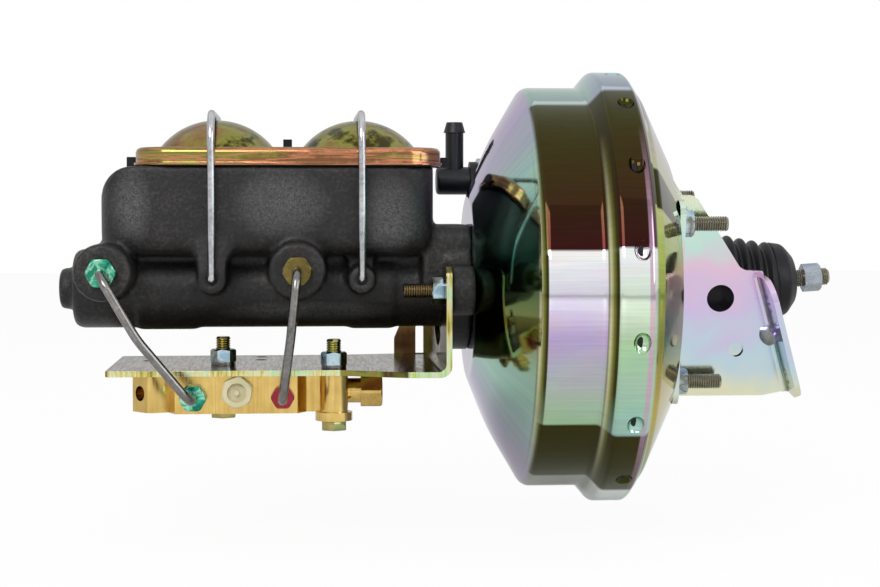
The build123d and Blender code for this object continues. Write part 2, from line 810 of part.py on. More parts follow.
def front_studs():
    """Two studs that carry the master cylinder on the booster."""
    studs = []
    for side in (-1, 1):
        head = rod_x(5.0, front_face_x + shell_sheet, front_face_x + shell_sheet + 3, side * stud_y)
        shank = rod_x(stud_radius, -198.3, front_face_x + shell_sheet, side * stud_y)
        studs.append(head + chamfer(shank.edges().sort_by(Axis.X)[0], 0.9))
    return Compound(studs)


def front_nuts():
    """Nuts on the front studs, over the valve bracket."""
    places = [(-stud_y, 0), (stud_y, 0)]
    return Compound(nuts_along_x(places, upright_x, -1, nut_across_flats, nut_height, stud_radius))


def tube_nut(flats, seat_y, x, z, head, shank):
    """Flare nut facing the viewer, its thread in a port."""
    nut = Pos(x, seat_y, z) * Rot(90, 0, 0) * hexagon(flats, head)
    nut += rod_y(port_thread_radius, seat_y - 0.5, seat_y + shank, x, z)
    return nut - rod_y(line_radius, seat_y - head - 1, seat_y + shank + 1, x, z)


def brake_line(port, valve_x):
    """Steel tube from a cylinder port down to the valve."""
    x, z = port
    end_x = valve_x
    middle = (x + (end_x - x) * 0.42, -74.0, z + (valve_port_z - z) * 0.50)
    points = [
        (x, port_face_y + 8.0, z),
        (x, -72.0, z),
        middle,
        (end_x, -68.0, valve_port_z),
        (end_x, valve_front_y + 9.0, valve_port_z),
    ]
    return wire_run(points, line_radius, [9, 40, 9])


def valve_bracket():
    """Shelf under the cylinder with an upright behind the flange nuts."""
    sheet = bracket_sheet
    shelf_bottom = shelf_top_z - sheet
    right_x = upright_x + sheet
    plan = FilletPolyline(
        (shelf_left_x, shelf_near_y), (shelf_taper_x[0], shelf_near_y), (shelf_taper_x[1], upright_near_y),
        (right_x, upright_near_y), (right_x, upright_far_y), (shelf_taper_x[1] - 4, upright_far_y),
        (shelf_taper_x[0], shelf_far_y), (shelf_left_x, shelf_far_y),
        radius=[3, 20, 20, 0, 0, 8, 20, 3], close=True)
    body = Pos(0, 0, shelf_bottom) * extrude(make_face(plan), sheet)
    upright = block((upright_x, right_x), (upright_near_y, upright_far_y), (shelf_bottom, upright_top_z))
    upright = fillet(upright.edges().filter_by(Axis.X).group_by(Axis.Z)[-1], 6)
    gusset_y = upright_far_y - sheet
    profile = FilletPolyline(
        (right_x, shelf_bottom), (right_x, upright_top_z - 8), (-192.0, upright_top_z - 8), (-192.0, -18.0),
        (-198.0, -32.0), (-198.0, shelf_bottom),
        radius=[0, 0, 5, 8, 6, 0], close=True)
    gusset = Pos(0, upright_far_y, 0) * extrude(Plane.XZ * make_face(profile), sheet)
    body += upright + gusset
    slot = block((-185.6, -181.0), (gusset_y - 1, upright_far_y + 1), (shelf_top_z + 0.5, -26.0))
    body -= slot + rod_y(2.3, gusset_y - 1, upright_far_y + 1, -183.3, -26.0)
    bend = Pos(upright_x, 0, shelf_top_z) * Rot(90, 0, 0)
    inside = Box(4, 4, 200, align=(Align.MAX, Align.MIN, Align.CENTER)) - Pos(-4, 4, 0) * Cylinder(4, 300)
    width = block((-250, -150), (upright_near_y, upright_far_y), (-80, 60))
    body += (bend * inside) & width
    outside = Box(6, 6, 300, align=(Align.MAX, Align.MIN, Align.CENTER)) - Pos(-6, 6, 0) * Cylinder(6, 300)
    body -= Pos(right_x, 0, shelf_bottom) * Rot(90, 0, 0) * outside
    notch = rod_x(flange_radius - 2, upright_x - 5, right_x + 1)
    notch += block((upright_x - 5, right_x + 1), (-flange_radius + 2, flange_radius - 2), (0, 40))
    body -= notch
    for side in (-1, 1):
        body -= rod_x(stud_radius + 0.3, upright_x - 2, right_x + 1, side * stud_y)
    for x, y in valve_bolts_at:
        body -= rod_z(valve_bolt_radius + 0.2, shelf_bottom - 1, shelf_top_z + 1, x, y)
    for x, y in shelf_holes:
        body -= rod_z(shelf_hole_radius, shelf_bottom - 1, shelf_top_z + 1, x, y)
    return body


def valve_body():
    """Brass combination valve block with its cross bore and ports."""
    top = shelf_top_z - bracket_sheet
    outline = Polyline(
        (valve_left_x, valve_back_y), (valve_left_x, valve_front_y + 6 + valve_facet[1]),
        (valve_left_x + valve_facet[0], valve_front_y + 6),
        (valve_steps_x[0], valve_front_y + 6), (valve_steps_x[1], valve_front_y + 9), (valve_steps_x[2], valve_front_y),
        (valve_steps_x[3], valve_front_y), (valve_steps_x[4], valve_front_y + 8), (valve_outlet_x, valve_front_y + 8),
        (valve_outlet_x, valve_back_y), close=True)
    body = Pos(0, 0, valve_bottom_z) * extrude(make_face(outline), top - valve_bottom_z)
    for x in valve_grooves_x:
        body -= block((x - 0.4, x + 0.4), (valve_front_y - 1, valve_front_y + 1.2), (valve_bottom_z - 1, top + 1))
    column_x, column_y = valve_bolts_at[1]
    body += rod_z(7.5, valve_bottom_z, top, column_x, column_y)
    body += rod_z(9.8, valve_bottom_z - 4.5, valve_bottom_z, column_x, column_y)
    body -= rod_x(valve_bore, valve_left_x + 16.7, valve_outlet_x + 1, *valve_axis)
    for x in valve_ports:
        body -= rod_y(port_thread_radius, valve_front_y - 1, valve_front_y + 10, x, valve_port_z)
        body -= rod_y(1.6, valve_front_y + 9, valve_axis[0], x, valve_port_z)
    body -= rod_y(6.0, valve_front_y - 1, valve_front_y + 11, switch_x, switch_z)
    body -= rod_y(2.0, valve_front_y + 10, valve_axis[0], switch_x, switch_z)
    facet_turn = degrees(atan2(valve_facet[1], valve_facet[0]))
    facet_x = valve_left_x + valve_facet[0] / 2
    facet_y = valve_front_y + 6 + valve_facet[1] / 2
    facet = Pos(facet_x, facet_y, valve_axis[1]) * Rot(0, 0, -facet_turn) * Rot(90, 0, 0)
    body -= facet * Cylinder(facet_port_radius, 2 * facet_port_depth)
    for x, y in valve_bolts_at:
        body -= rod_z(valve_bolt_radius, valve_bottom_z - 10, top + 1, x, y)
    return body


def outlet_fitting():
    """Brass outlet on the right end of the valve."""
    y, z = valve_axis
    body = rod_x(6.6, valve_outlet_x, valve_outlet_x + 8, y, z)
    body += Pos(valve_outlet_x + 7, y, z) * Rot(0, 90, 0) * Rot(0, 0, 30) * hexagon(16.5, 11.5)
    body += rod_x(valve_bore, valve_outlet_x - 6, valve_outlet_x, y, z)
    body -= rod_x(port_thread_radius - 0.4, valve_outlet_x + 6, valve_outlet_x + 20, y, z)
    return body - rod_x(2.0, valve_outlet_x - 8, valve_outlet_x + 10, y, z)


def switch_plug():
    """White plastic switch plug in the front of the valve."""
    body = Pos(switch_x, valve_front_y, switch_z) * Rot(90, 0, 0) * Rot(0, 0, 20) * hexagon(15.2, 7.5)
    body += rod_y(6.0, valve_front_y, valve_front_y + 10.5, switch_x, switch_z)
    body += rod_y(1.9, valve_front_y + 10, valve_front_y + 14.5, switch_x, switch_z)
    body -= rod_y(5.0, valve_front_y - 8, valve_front_y - 5, switch_x, switch_z)
    return body + rod_y(1.3, valve_front_y - 7.4, valve_front_y - 4.5, switch_x, switch_z)


def spool(start, end, neck):
    """Two-land spool in the valve bore."""
    y, z = valve_axis
    body = rod_x(valve_bore - running, start, end, y, z)
    ring = rod_x(valve_bore + 1, start + 4, end - 4, y, z) - rod_x(neck, start + 3, end - 3, y, z)
    return body - ring


def prop_spring():
    """Spring behind the proportioning piston."""
    return coil(0.7, 3.4, valve_outlet_x - 12.3, valve_outlet_x - 7.0, 3, *valve_axis)


def valve_bolts():
    """Two bolts up through the valve and the shelf."""
    bolts = []
    heads = (valve_bottom_z, valve_bottom_z - 4.5)
    tips = (shelf_top_z + 15.5, shelf_top_z + 15.5)
    for (x, y), head_z, tip_z in zip(valve_bolts_at, heads, tips):
        head = Pos(x, y, head_z) * Rot(180, 0, 0) * hexagon(valve_nut_flats, 5.3)
        shank = rod_z(valve_bolt_radius, head_z, tip_z, x, y)
        bolts.append(head + chamfer(shank.edges().sort_by(Axis.Z)[-1], 0.9))
    return Compound(bolts)


def valve_washers():
    """Lock washers under the two nuts."""
    washers = []
    for x, y in valve_bolts_at:
        ring = rod_z(6.6, shelf_top_z, shelf_top_z + 2, x, y) - rod_z(valve_bolt_radius, -60, 0, x, y)
        washers.append(ring)
    return Compound(washers)


def valve_nuts():
    """Two nuts above the shelf."""
    nuts = []
    for x, y in valve_bolts_at:
        nut = hexagon(valve_nut_flats, 6.8) - Cylinder(valve_bolt_radius, 40)
        nuts.append(Pos(x, y, shelf_top_z + 2) * nut)
    return Compound(nuts)


def check_valve():
    """Plastic elbow with a hose nipple, pushed into the grommet."""
    y, z = check_y, check_z
    body = rod_x(8.0, check_body_x, check_pad_x - 4.0, y, z)
    body = fillet(body.edges().sort_by(Axis.X)[0], 2)
    body += rod_x(5.6, check_pad_x - 5, check_pad_x + 6.5, y, z)
    nipple_x = check_body_x + 10.7
    body += rod_z(5.2, z, check_top_z - 2, nipple_x, y)
    barb = Pos(nipple_x, y, check_top_z - 3) * Cone(6.3, 4.6, 6)
    body += barb
    bore = rod_z(3.4, z, check_top_z + 1, nipple_x, y)
    return body - bore - rod_x(3.0, nipple_x, check_pad_x + 8, y, z)


def check_valve_grommet():
    """Rubber grommet that holds the check valve in the front housing."""
    y, z = check_y, check_z
    groove = grommet_radius - 2.5
    profile = [
        (check_pad_x - 3.9, 5.65),
        (check_pad_x - 3.9, grommet_radius),
        (check_pad_x, grommet_radius),
        (check_pad_x, groove),
        (check_pad_x + shell_sheet, groove),
        (check_pad_x + shell_sheet, grommet_radius - 1),
        (check_pad_x + 5.5, groove - 0.5),
        (check_pad_x + 5.5, 5.65),
    ]
    return Pos(0, y, z) * turned(profile)


def build():
    """Make every node and write it."""
    nodes = {
        "front_shell": front_shell(),
        "rear_shell": rear_shell(),
        "rear_studs": rear_studs(),
        "rear_nuts": rear_nuts(),
        "near_firewall_bracket": firewall_bracket(-1),
        "far_firewall_bracket": firewall_bracket(1),
        "power_piston": power_piston(),
        "diaphragm_plate": diaphragm_plate(),
        "diaphragm": diaphragm(),
        "reaction_disc": reaction_disc(),
        "output_rod": output_rod(),
        "return_spring": return_spring(),
        "front_seal": front_seal(),
        "rear_seal": rear_seal(),
        "air_filter": air_filter(),
        "valve_plunger": valve_plunger(),
        "poppet": poppet(),
        "poppet_spring": poppet_spring(),
        "pushrod": pushrod(),
        "pushrod_nut": pushrod_nut(),
        "boot_bellows": boot_bellows(),
        "boot_cap": boot_cap(),
        "cylinder_body": cylinder_body(),
        "reservoir_body": reservoir_body(),
        "tube_seats": tube_seats(),
        "reservoir_cover": reservoir_cover(),
        "cover_gasket": cover_gasket(),
        "front_bail": bail(bail_pivots[0]),
        "rear_bail": bail(bail_pivots[1]),
        "primary_piston": primary_piston(),
        "secondary_piston": secondary_piston(),
        "primary_cups": piston_cups(primary_rear_x - primary_length, primary_rear_x, 10),
        "secondary_cups": piston_cups(secondary_rear_x - secondary_length, secondary_rear_x, 9),
        "primary_spring": coil(1.2, 9.5, secondary_rear_x + 1.4, primary_rear_x - primary_length - 1.4, 4),
        "secondary_spring": coil(1.2, 9.5, bore_end_x + 1.4, secondary_rear_x - secondary_length - 1.4, 5),
        "retaining_ring": retaining_ring(),
        "front_studs": front_studs(),
        "front_nuts": front_nuts(),
        "front_brake_line": brake_line(front_port, valve_ports[0]),
        "rear_brake_line": brake_line(rear_port, valve_ports[1]),
        "green_line_nuts": Compound([
            tube_nut(14.3, port_face_y, *front_port, 7.0, 8.0),
            tube_nut(13.0, valve_front_y, valve_ports[0], valve_port_z, 7.0, 8.5)]),
        "gold_line_nut": tube_nut(14.3, port_face_y, *rear_port, 7.0, 8.0),
        "red_line_nut": tube_nut(11.1, valve_front_y, valve_ports[1], valve_port_z, 6.0, 8.5),
        "valve_bracket": valve_bracket(),
        "valve_body": valve_body(),
        "outlet_fitting": outlet_fitting(),
        "switch_plug": switch_plug(),
        "shuttle": spool(switch_x - 15, switch_x + 15, 2.6),
        "metering_piston": spool(valve_left_x + 18.7, valve_left_x + 35.7, 3.0),
        "prop_piston": spool(valve_outlet_x - 34.9, valve_outlet_x - 13.1, 3.0),
        "prop_spring": prop_spring(),
        "valve_bolts": valve_bolts(),
        "valve_washers": valve_washers(),
        "valve_nuts": valve_nuts(),
        "check_valve": check_valve(),
        "check_valve_grommet": check_valve_grommet(),
    }
    for name, shape in nodes.items():
        save(name, shape)


build()
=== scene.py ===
import bpy
import json
import math
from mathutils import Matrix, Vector


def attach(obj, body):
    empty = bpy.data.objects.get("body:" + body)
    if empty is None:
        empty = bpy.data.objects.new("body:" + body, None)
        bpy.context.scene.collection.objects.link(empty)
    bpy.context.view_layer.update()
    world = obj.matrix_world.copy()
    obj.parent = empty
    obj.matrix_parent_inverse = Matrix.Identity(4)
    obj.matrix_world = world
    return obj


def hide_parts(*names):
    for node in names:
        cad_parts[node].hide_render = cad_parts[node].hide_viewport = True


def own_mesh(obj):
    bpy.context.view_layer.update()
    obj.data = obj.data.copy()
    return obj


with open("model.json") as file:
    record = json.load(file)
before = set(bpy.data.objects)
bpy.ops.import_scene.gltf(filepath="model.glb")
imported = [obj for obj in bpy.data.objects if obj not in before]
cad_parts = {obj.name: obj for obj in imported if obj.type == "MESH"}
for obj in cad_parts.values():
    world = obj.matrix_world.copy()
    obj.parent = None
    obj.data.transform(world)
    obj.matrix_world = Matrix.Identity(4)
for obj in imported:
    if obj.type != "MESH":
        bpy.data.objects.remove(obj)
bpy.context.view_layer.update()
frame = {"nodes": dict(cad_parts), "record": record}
nodes = frame["nodes"]
mm = 0.001


# A shader socket that can be added, multiplied and so on
class Value:
    def __init__(self, finish, node, index=0):
        self.finish = finish
        self.source = node
        self.socket = node.outputs[index]

    def other(self, index):
        return Value(self.finish, self.source, index)

    def math(self, operation, *others):
        return self.finish.node("ShaderNodeMath", {"operation": operation}, [self, *others])

    def __add__(self, other): return self.math("ADD", other)
    def __radd__(self, other): return self.math("ADD", other)
    def __sub__(self, other): return self.math("SUBTRACT", other)
    def __rsub__(self, other): return (self * -1.0) + other
    def __mul__(self, other): return self.math("MULTIPLY", other)
    def __rmul__(self, other): return self.math("MULTIPLY", other)
    def __truediv__(self, other): return self.math("DIVIDE", other)
    def __rtruediv__(self, other): return (self ** -1.0) * other
    def __pow__(self, other): return self.math("POWER", other)


# A material of its own, or the nodes of the world
class Finish:
    def __init__(self, name, world=None):
        self.material = world or bpy.data.materials.new(name)
        self.material.use_nodes = True
        self.tree = self.material.node_tree
        self.shader = self.tree.nodes["Background" if world else "Principled BSDF"]

    def node(self, kind, settings=None, inputs=(), out=0):
        made = self.tree.nodes.new(kind)
        for key, value in (settings or {}).items():
            if key == "stops":
                ramp = made.color_ramp
                while len(ramp.elements) < len(value):
                    ramp.elements.new(1.0)
                for element, (place, colour) in zip(ramp.elements, value):
                    element.position = place
                    element.color = (*colour, 1.0)
            else:
                setattr(made, key, value)
        pairs = inputs.items() if isinstance(inputs, dict) else enumerate(inputs)
        for key, value in pairs:
            if isinstance(value, Value):
                self.tree.links.new(value.socket, made.inputs[key])
            else:
                made.inputs[key].default_value = value
        return Value(self, made, out)

    # Object coordinates, in metres
    def place(self, scale=None):
        where = self.node("ShaderNodeTexCoord", out=3)
        if scale is None:
            return where
        return self.node("ShaderNodeVectorMath", {"operation": "MULTIPLY"}, [where, scale])

    def axes(self, vector=None):
        x = self.node("ShaderNodeSeparateXYZ", None, [vector or self.place()])
        return x, x.other(1), x.other(2)

    def vector(self, x, y, z):
        return self.node("ShaderNodeCombineXYZ", None, [x, y, z])

    def noise(self, vector, scale=1.0, detail=4.0, roughness=0.55, distortion=0.0):
        return self.node("ShaderNodeTexNoise", None, {
            "Vector": vector, "Scale": scale, "Detail": detail, "Roughness": roughness,
            "Distortion": distortion})

    def ramp(self, value, stops):
        return self.node("ShaderNodeValToRGB", {"stops": stops}, [value])

    def range(self, value, low, high, toLow=0.0, toHigh=1.0):
        return self.node("ShaderNodeMapRange", None, [value, low, high, toLow, toHigh])

    # The colour sockets of the mix node are inputs 6 and 7 and output 2
    def mixed(self, factor, first, second, blend="MIX"):
        first, second = (v if isinstance(v, Value) else (*v, 1.0) for v in (first, second))
        return self.node("ShaderNodeMix", {"data_type": "RGBA", "blend_type": blend},
                         {0: factor, 6: first, 7: second}, 2)

    def dimmed(self, colour, level):
        return self.mixed(1.0, colour, self.vector(level, level, level), "MULTIPLY")

    def bump(self, height, strength, distance):
        made = self.node("ShaderNodeBump", None, {
            "Height": height, "Strength": strength, "Distance": distance})
        self.tree.links.new(made.socket, self.shader.inputs["Normal"])

    def set(self, **inputs):
        for key, value in inputs.items():
            socket = self.shader.inputs[key.replace("_", " ")]
            if isinstance(value, Value):
                self.tree.links.new(value.socket, socket)
            else:
                socket.default_value = value
        return self.material


# Linear light from a hue in degrees and a saturation and value in percent
def shade(hue, saturation, value):
    corners = [(hue / 60 + corner) % 6 for corner in (5, 3, 1)]
    parts = [max(0, min(corner, 4 - corner, 1)) for corner in corners]
    return tuple((value / 100 * (1 - saturation / 100 * part)) ** 2.2 for part in parts)


# Palette by rule: two neutral tints and hues in four groups, each group with one saturation and one value
def tones(saturation, value, **hues):
    return {name: shade(hue, saturation, value) for name, hue in hues.items()}


tint = {
    **tones(0, 100, white=0), **tones(0, 65, grey=0),
    **tones(20, 80, pink=320, lilac=270, sky=200, aqua=160, green=110, straw=60),
    **tones(50, 75, lime=70, gold=50, copper=20),
    **tones(50, 50, teal=160, bronze=60, khaki=45, brown=25),
    **tones(50, 25, olive=65, moss=50, umber=30, wine=0),
}


def stops(*pairs):
    return [(place, tint[name]) for place, name in pairs]


# A ramp of tints in equal steps, each mixed with white by its share in pale
def evenly(*names, low=0.0, high=1.0, pale=0.0):
    step = (high - low) / (len(names) - 1)
    return [(low + step * index, tuple(part + (1 - part) * pale for part in tint[name]))
            for index, name in enumerate(names)]


# Rainbow plating on the drum from its foot (0) to its top (1), its bands by height partly painted reflections
# of the studio, with the studio's dark reflections painted over it; each painted dark reflection has crisp
# ends and is given by its two ends and its tints there
drumLook = {
    "can": evenly("grey", "green", "lilac", "white", "pink", "aqua"),
    "rim": evenly("white", "aqua", "green", "white", "pink", "sky"),
    "cone": evenly("lilac", "aqua", "bronze", "teal", "aqua", "lilac"),
    "rear": evenly("aqua", "gold", "bronze", "lime", "straw", "lilac"),
    # edge: painted reflections, dark and bright, across the fillets at the cone's end and the lip
    "edge": evenly("olive", "straw", "bronze", "olive", "umber"),
    "clouds": evenly("pink", "straw", "aqua", "lilac", "gold", low=0.35, high=0.7, pale=0.7),
    "darks": ((0.05, 0.20, "olive", "moss"), (0.60, 0.95, "wine", "olive")),
    "rearDarks": ((0.70, 0.80, "moss", "olive"),), "crisp": 0.006,
    # roll and rollHalf place a painted pink highlight on the rim's rolled edge; brightHeight and brightHalf
    # keep it and the painted edge reflections to the middle of the drum's side
    "coneEnd": -0.1325, "lip": -0.0985, "canRadius": 0.1105, "rearStart": -0.0765, "roll": -0.0802,
    "rollHalf": (0.0010, 0.0016), "edgeHalf": 0.0026, "brightHeight": -0.12, "brightHalf": (0.30, 0.85),
}


# Paints the dark reflections of the studio over a colour, each between its two ends on the band
def paintedDarkReflections(f, band, colour, darks):
    crisp = drumLook["crisp"]
    for low, high, foot, top in darks:
        inside = f.range(band, low, low + crisp) * f.range(band, high - crisp, high, 1.0, 0.0)
        colour = f.mixed(inside, colour, f.mixed(f.range(band, low, high), tint[foot], tint[top]))
    return colour


def drumZinc():
    f = Finish("drumZinc")
    look = drumLook
    x, y, z = f.axes()
    radius = ((y * y) + (z * z)).math("SQRT").math("MAXIMUM", 0.001)
    height, side = z / radius, y / radius
    wobble = f.noise(f.vector(x * 12.0, side * 1.4, height * 1.4), 1.0, 2.0)
    streak = f.noise(f.vector(x * 18.0, side * 90.0, height * 90.0), 1.0, 3.0, 0.6)
    band = height * 0.5 + 0.5 + (streak - 0.5) * 0.004
    soft = band + (wobble - 0.5) * 0.10
    onCone = f.range(x, look["coneEnd"] - 0.001, look["coneEnd"] + 0.0005, 1.0, 0.0)
    onRim = f.range(radius, look["canRadius"], look["canRadius"] + 0.003)
    onRear = f.range(x, look["rearStart"] - 0.001, look["rearStart"])
    colour = f.mixed(onRim, f.ramp(band, look["can"]), f.ramp(band, look["rim"]))
    colour = paintedDarkReflections(f, band, colour, look["darks"])
    rear = paintedDarkReflections(f, soft, f.ramp(soft, look["rear"]), look["rearDarks"])
    colour = f.mixed(onRear, f.mixed(onCone, colour, f.ramp(soft, look["cone"])), rear)
    # Painted highlight in pink along the rim's rolled edge, and painted reflections dark and bright across
    # the fillets at the cone's end and the lip, all kept to the middle of the drum's side
    middle = f.range((height - look["brightHeight"]).math("ABSOLUTE"), *look["brightHalf"], 1.0, 0.0)
    rollHighlight = f.range((x - look["roll"]).math("ABSOLUTE"), *look["rollHalf"], 1.0, 0.0)
    colour = f.mixed(rollHighlight * middle * 0.8, colour, tint["pink"])
    for at in (look["coneEnd"], look["lip"]):
        across = f.range(x, at - look["edgeHalf"], at + look["edgeHalf"])
        near = f.range((across - 0.5).math("ABSOLUTE"), 0.40, 0.50, 1.0, 0.0)
        colour = f.mixed(near * middle, colour, f.ramp(across, look["edge"]))
    clouds = f.ramp(f.noise(f.vector(x * 14.0, side * 3.0, height * 3.0), 2.0, 2.0), look["clouds"])
    colour = f.mixed(0.7, colour, clouds, "MULTIPLY")
    colour = f.dimmed(colour, f.range(streak, 0.35, 0.65, 0.93, 1.04))
    f.bump(streak, 0.012, 0.0002)
    return f.set(Base_Color=colour, Metallic=1.0, Roughness=f.range(streak, 0.3, 0.8, 0.05, 0.11))


# Rainbow plating in soft clouds, for flat pressings and small parts
def cloudZinc(name, colours, rough=(0.2, 0.34), scale=22.0, metal=0.9):
    f = Finish(name)
    cloud = f.noise(f.place(), scale, 2.0, 0.5, 0.5)
    grain = f.noise(f.place(), 700.0, 2.0)
    f.bump(grain, 0.02, 0.0001)
    return f.set(Base_Color=f.ramp(cloud, colours), Metallic=metal,
                 Roughness=f.range(grain, 0.3, 0.7, *rough))


# Rainbow plating of the firewall brackets: mint at the top, rose in the middle, blue and lilac below
def bracketZinc():
    f = Finish("bracketZinc")
    z = f.axes()[2]
    cloud = f.noise(f.place(), 34.0, 2.0, 0.5, 0.4)
    grain = f.noise(f.place(), 700.0, 2.0)
    colour = f.ramp(f.range(z, -0.06, 0.06) + (cloud - 0.5) * 0.55, evenly(
        "straw", "sky", "lilac", "pink", "aqua", "straw", pale=0.15))
    f.bump(grain, 0.01, 0.0001)
    return f.set(Base_Color=colour, Metallic=1.0, Roughness=f.range(grain, 0.3, 0.7, 0.12, 0.2))


# Cover: copper skirt with fine bronze streaks along it, top and domes mottled olive and brown
coverLook = {"skirtTop": (0.0742, 0.0756), "streaks": (9.0, 9.0, 300.0)}


def coverGold():
    f = Finish("coverGold")
    mottle = f.noise(f.place(), 110.0, 4.0, 0.6)
    cloud = f.noise(f.place(), 16.0, 3.0)
    streak = f.noise(f.place(coverLook["streaks"]), 1.0, 2.0)
    skirt = f.ramp(streak * 0.8 + mottle * 0.2, stops(
        (0.38, "brown"), (0.44, "copper"), (0.49, "brown"), (0.53, "bronze"), (0.57, "copper"),
        (0.62, "bronze")))
    domes = f.ramp(mottle * 0.5 + cloud * 0.5, evenly(
        "moss", "bronze", "khaki", "brown", "khaki", low=0.4, high=0.65))
    above = f.range(f.axes()[2], *coverLook["skirtTop"])
    f.bump(mottle, 0.03, 0.0002)
    return f.set(Base_Color=f.mixed(above, skirt, domes), Metallic=1.0,
                 Roughness=f.range(mottle, 0.35, 0.65, 0.13, 0.22))


# Bracket of the valve: dark olive on its faces, with a painted highlight in bright yellow-green on the edges
# turned to the camera and painted shade dimming the shelf's top and the upright
oliveLook = {
    "shelfEdge": (-0.0456, -0.0452), "uprightEdge": (-0.0616, -0.0612), "shelfHeight": (-0.0405, -0.0400),
    "shelfEnd": (-0.2320, -0.2310), "shelfUnder": (-0.0414, -0.0412), "topShade": 0.5,
}


def bracketOlive():
    f = Finish("oliveZinc")
    look = oliveLook
    x, y, z = f.axes()
    cloud = f.noise(f.place(), 30.0, 2.0, 0.5, 0.5)
    brushed = f.noise(f.place((900.0, 60.0, 60.0)), 1.0, 3.0)
    face = f.ramp(cloud, stops(
        (0.32, "moss"), (0.44, "brown"), (0.52, "bronze"), (0.60, "moss"), (0.68, "copper")))
    edgeHighlight = f.ramp(cloud * 0.5 + brushed * 0.5, stops(
        (0.36, "bronze"), (0.44, "gold"), (0.51, "straw"), (0.57, "green"), (0.63, "lime"), (0.70, "copper")))
    # Where the painted highlight lies: the near edges of the shelf and of the upright
    shelfEdge = f.range(y, *look["shelfEdge"], 1.0, 0.0)
    uprightEdge = f.range(y, *look["uprightEdge"], 1.0, 0.0)
    onShelf = f.range(z, *look["shelfHeight"], 1.0, 0.0) * f.range(x, *look["shelfEnd"], 1.0, 0.0)
    edge = (shelfEdge * onShelf).math("MAXIMUM", uprightEdge)
    # Painted shade: everything above the shelf's underside is dimmed to topShade
    shade = f.range(z, *look["shelfUnder"], 1.0, look["topShade"])
    colour = f.mixed(edge, f.dimmed(face, shade), edgeHighlight)
    f.bump(brushed, 0.03, 0.0001)
    return f.set(Base_Color=colour, Metallic=1.0, Roughness=f.range(brushed, 0.3, 0.7, 0.14, 0.26))


# Black iron with painted highlights, speckled, on its near wall, each given by x, z, half width and half
# height
ironHighlights = {
    "tank left": (-0.340, 0.044, 0.012, 0.022), "tank middle": (-0.262, 0.046, 0.026, 0.020),
    "tank right": (-0.205, 0.040, 0.016, 0.024), "barrel": (-0.247, -0.012, 0.05, 0.006),
}


def castIron():
    f = Finish("castIron")
    coarse = f.noise(f.place(), 520.0, 5.0, 0.62)
    fine = f.noise(f.place(), 1900.0, 3.0, 0.6)
    patch = f.noise(f.place(), 26.0, 3.0)
    colour = f.ramp(coarse * 0.6 + patch * 0.4, [
        (0.30, (0.006, 0.005, 0.005)), (0.52, (0.015, 0.014, 0.014)), (0.68, (0.045, 0.041, 0.038))])
    x, y, z = f.axes()
    # shine adds up the painted highlights, and speckle breaks them into grains of pale grey
    shine = 0.0
    for left, high, wide, tall in ironHighlights.values():
        away = ((x - left) / wide) ** 2.0 + ((z - high) / tall) ** 2.0
        shine = f.range(away, 0.0, 1.0, 1.0, 0.0) + shine
    speckle = f.range(fine * 0.8 + coarse * 0.2, 0.36, 0.66)
    colour = f.mixed(shine * speckle * 0.7, colour, (0.13, 0.13, 0.135))
    f.bump(coarse * 0.7 + fine * 0.3, 0.8, 0.0005)
    return f.set(Base_Color=colour, Metallic=0.15, Specular_IOR_Level=0.25,
                 Roughness=f.range(fine, 0.3, 0.7, 0.28, 0.46))


def drawnMetal(name, dark, light, metal=1.0, rough=(0.22, 0.36), stretch=(500.0, 500.0, 500.0)):
    f = Finish(name)
    grain = f.noise(f.place(stretch), 1.0, 4.0, 0.6)
    patch = f.noise(f.place(), 60.0, 3.0)
    colour = f.mixed(f.range(grain * 0.5 + patch * 0.5, 0.35, 0.65), dark, light)
    f.bump(grain, 0.02, 0.0002)
    return f.set(Base_Color=colour, Metallic=metal, Roughness=f.range(grain, 0.3, 0.7, *rough))


def moulded(name, dark, light, rough=(0.4, 0.55), scale=500.0, strength=0.12, shine=0.5):
    f = Finish(name)
    grain = f.noise(f.place(), scale, 4.0)
    patch = f.noise(f.place(), 40.0, 2.0)
    colour = f.mixed(f.range(patch, 0.35, 0.65), dark, light)
    f.bump(grain, strength, 0.0002)
    return f.set(Base_Color=colour, Roughness=f.range(grain, 0.3, 0.7, *rough), Specular_IOR_Level=shine)


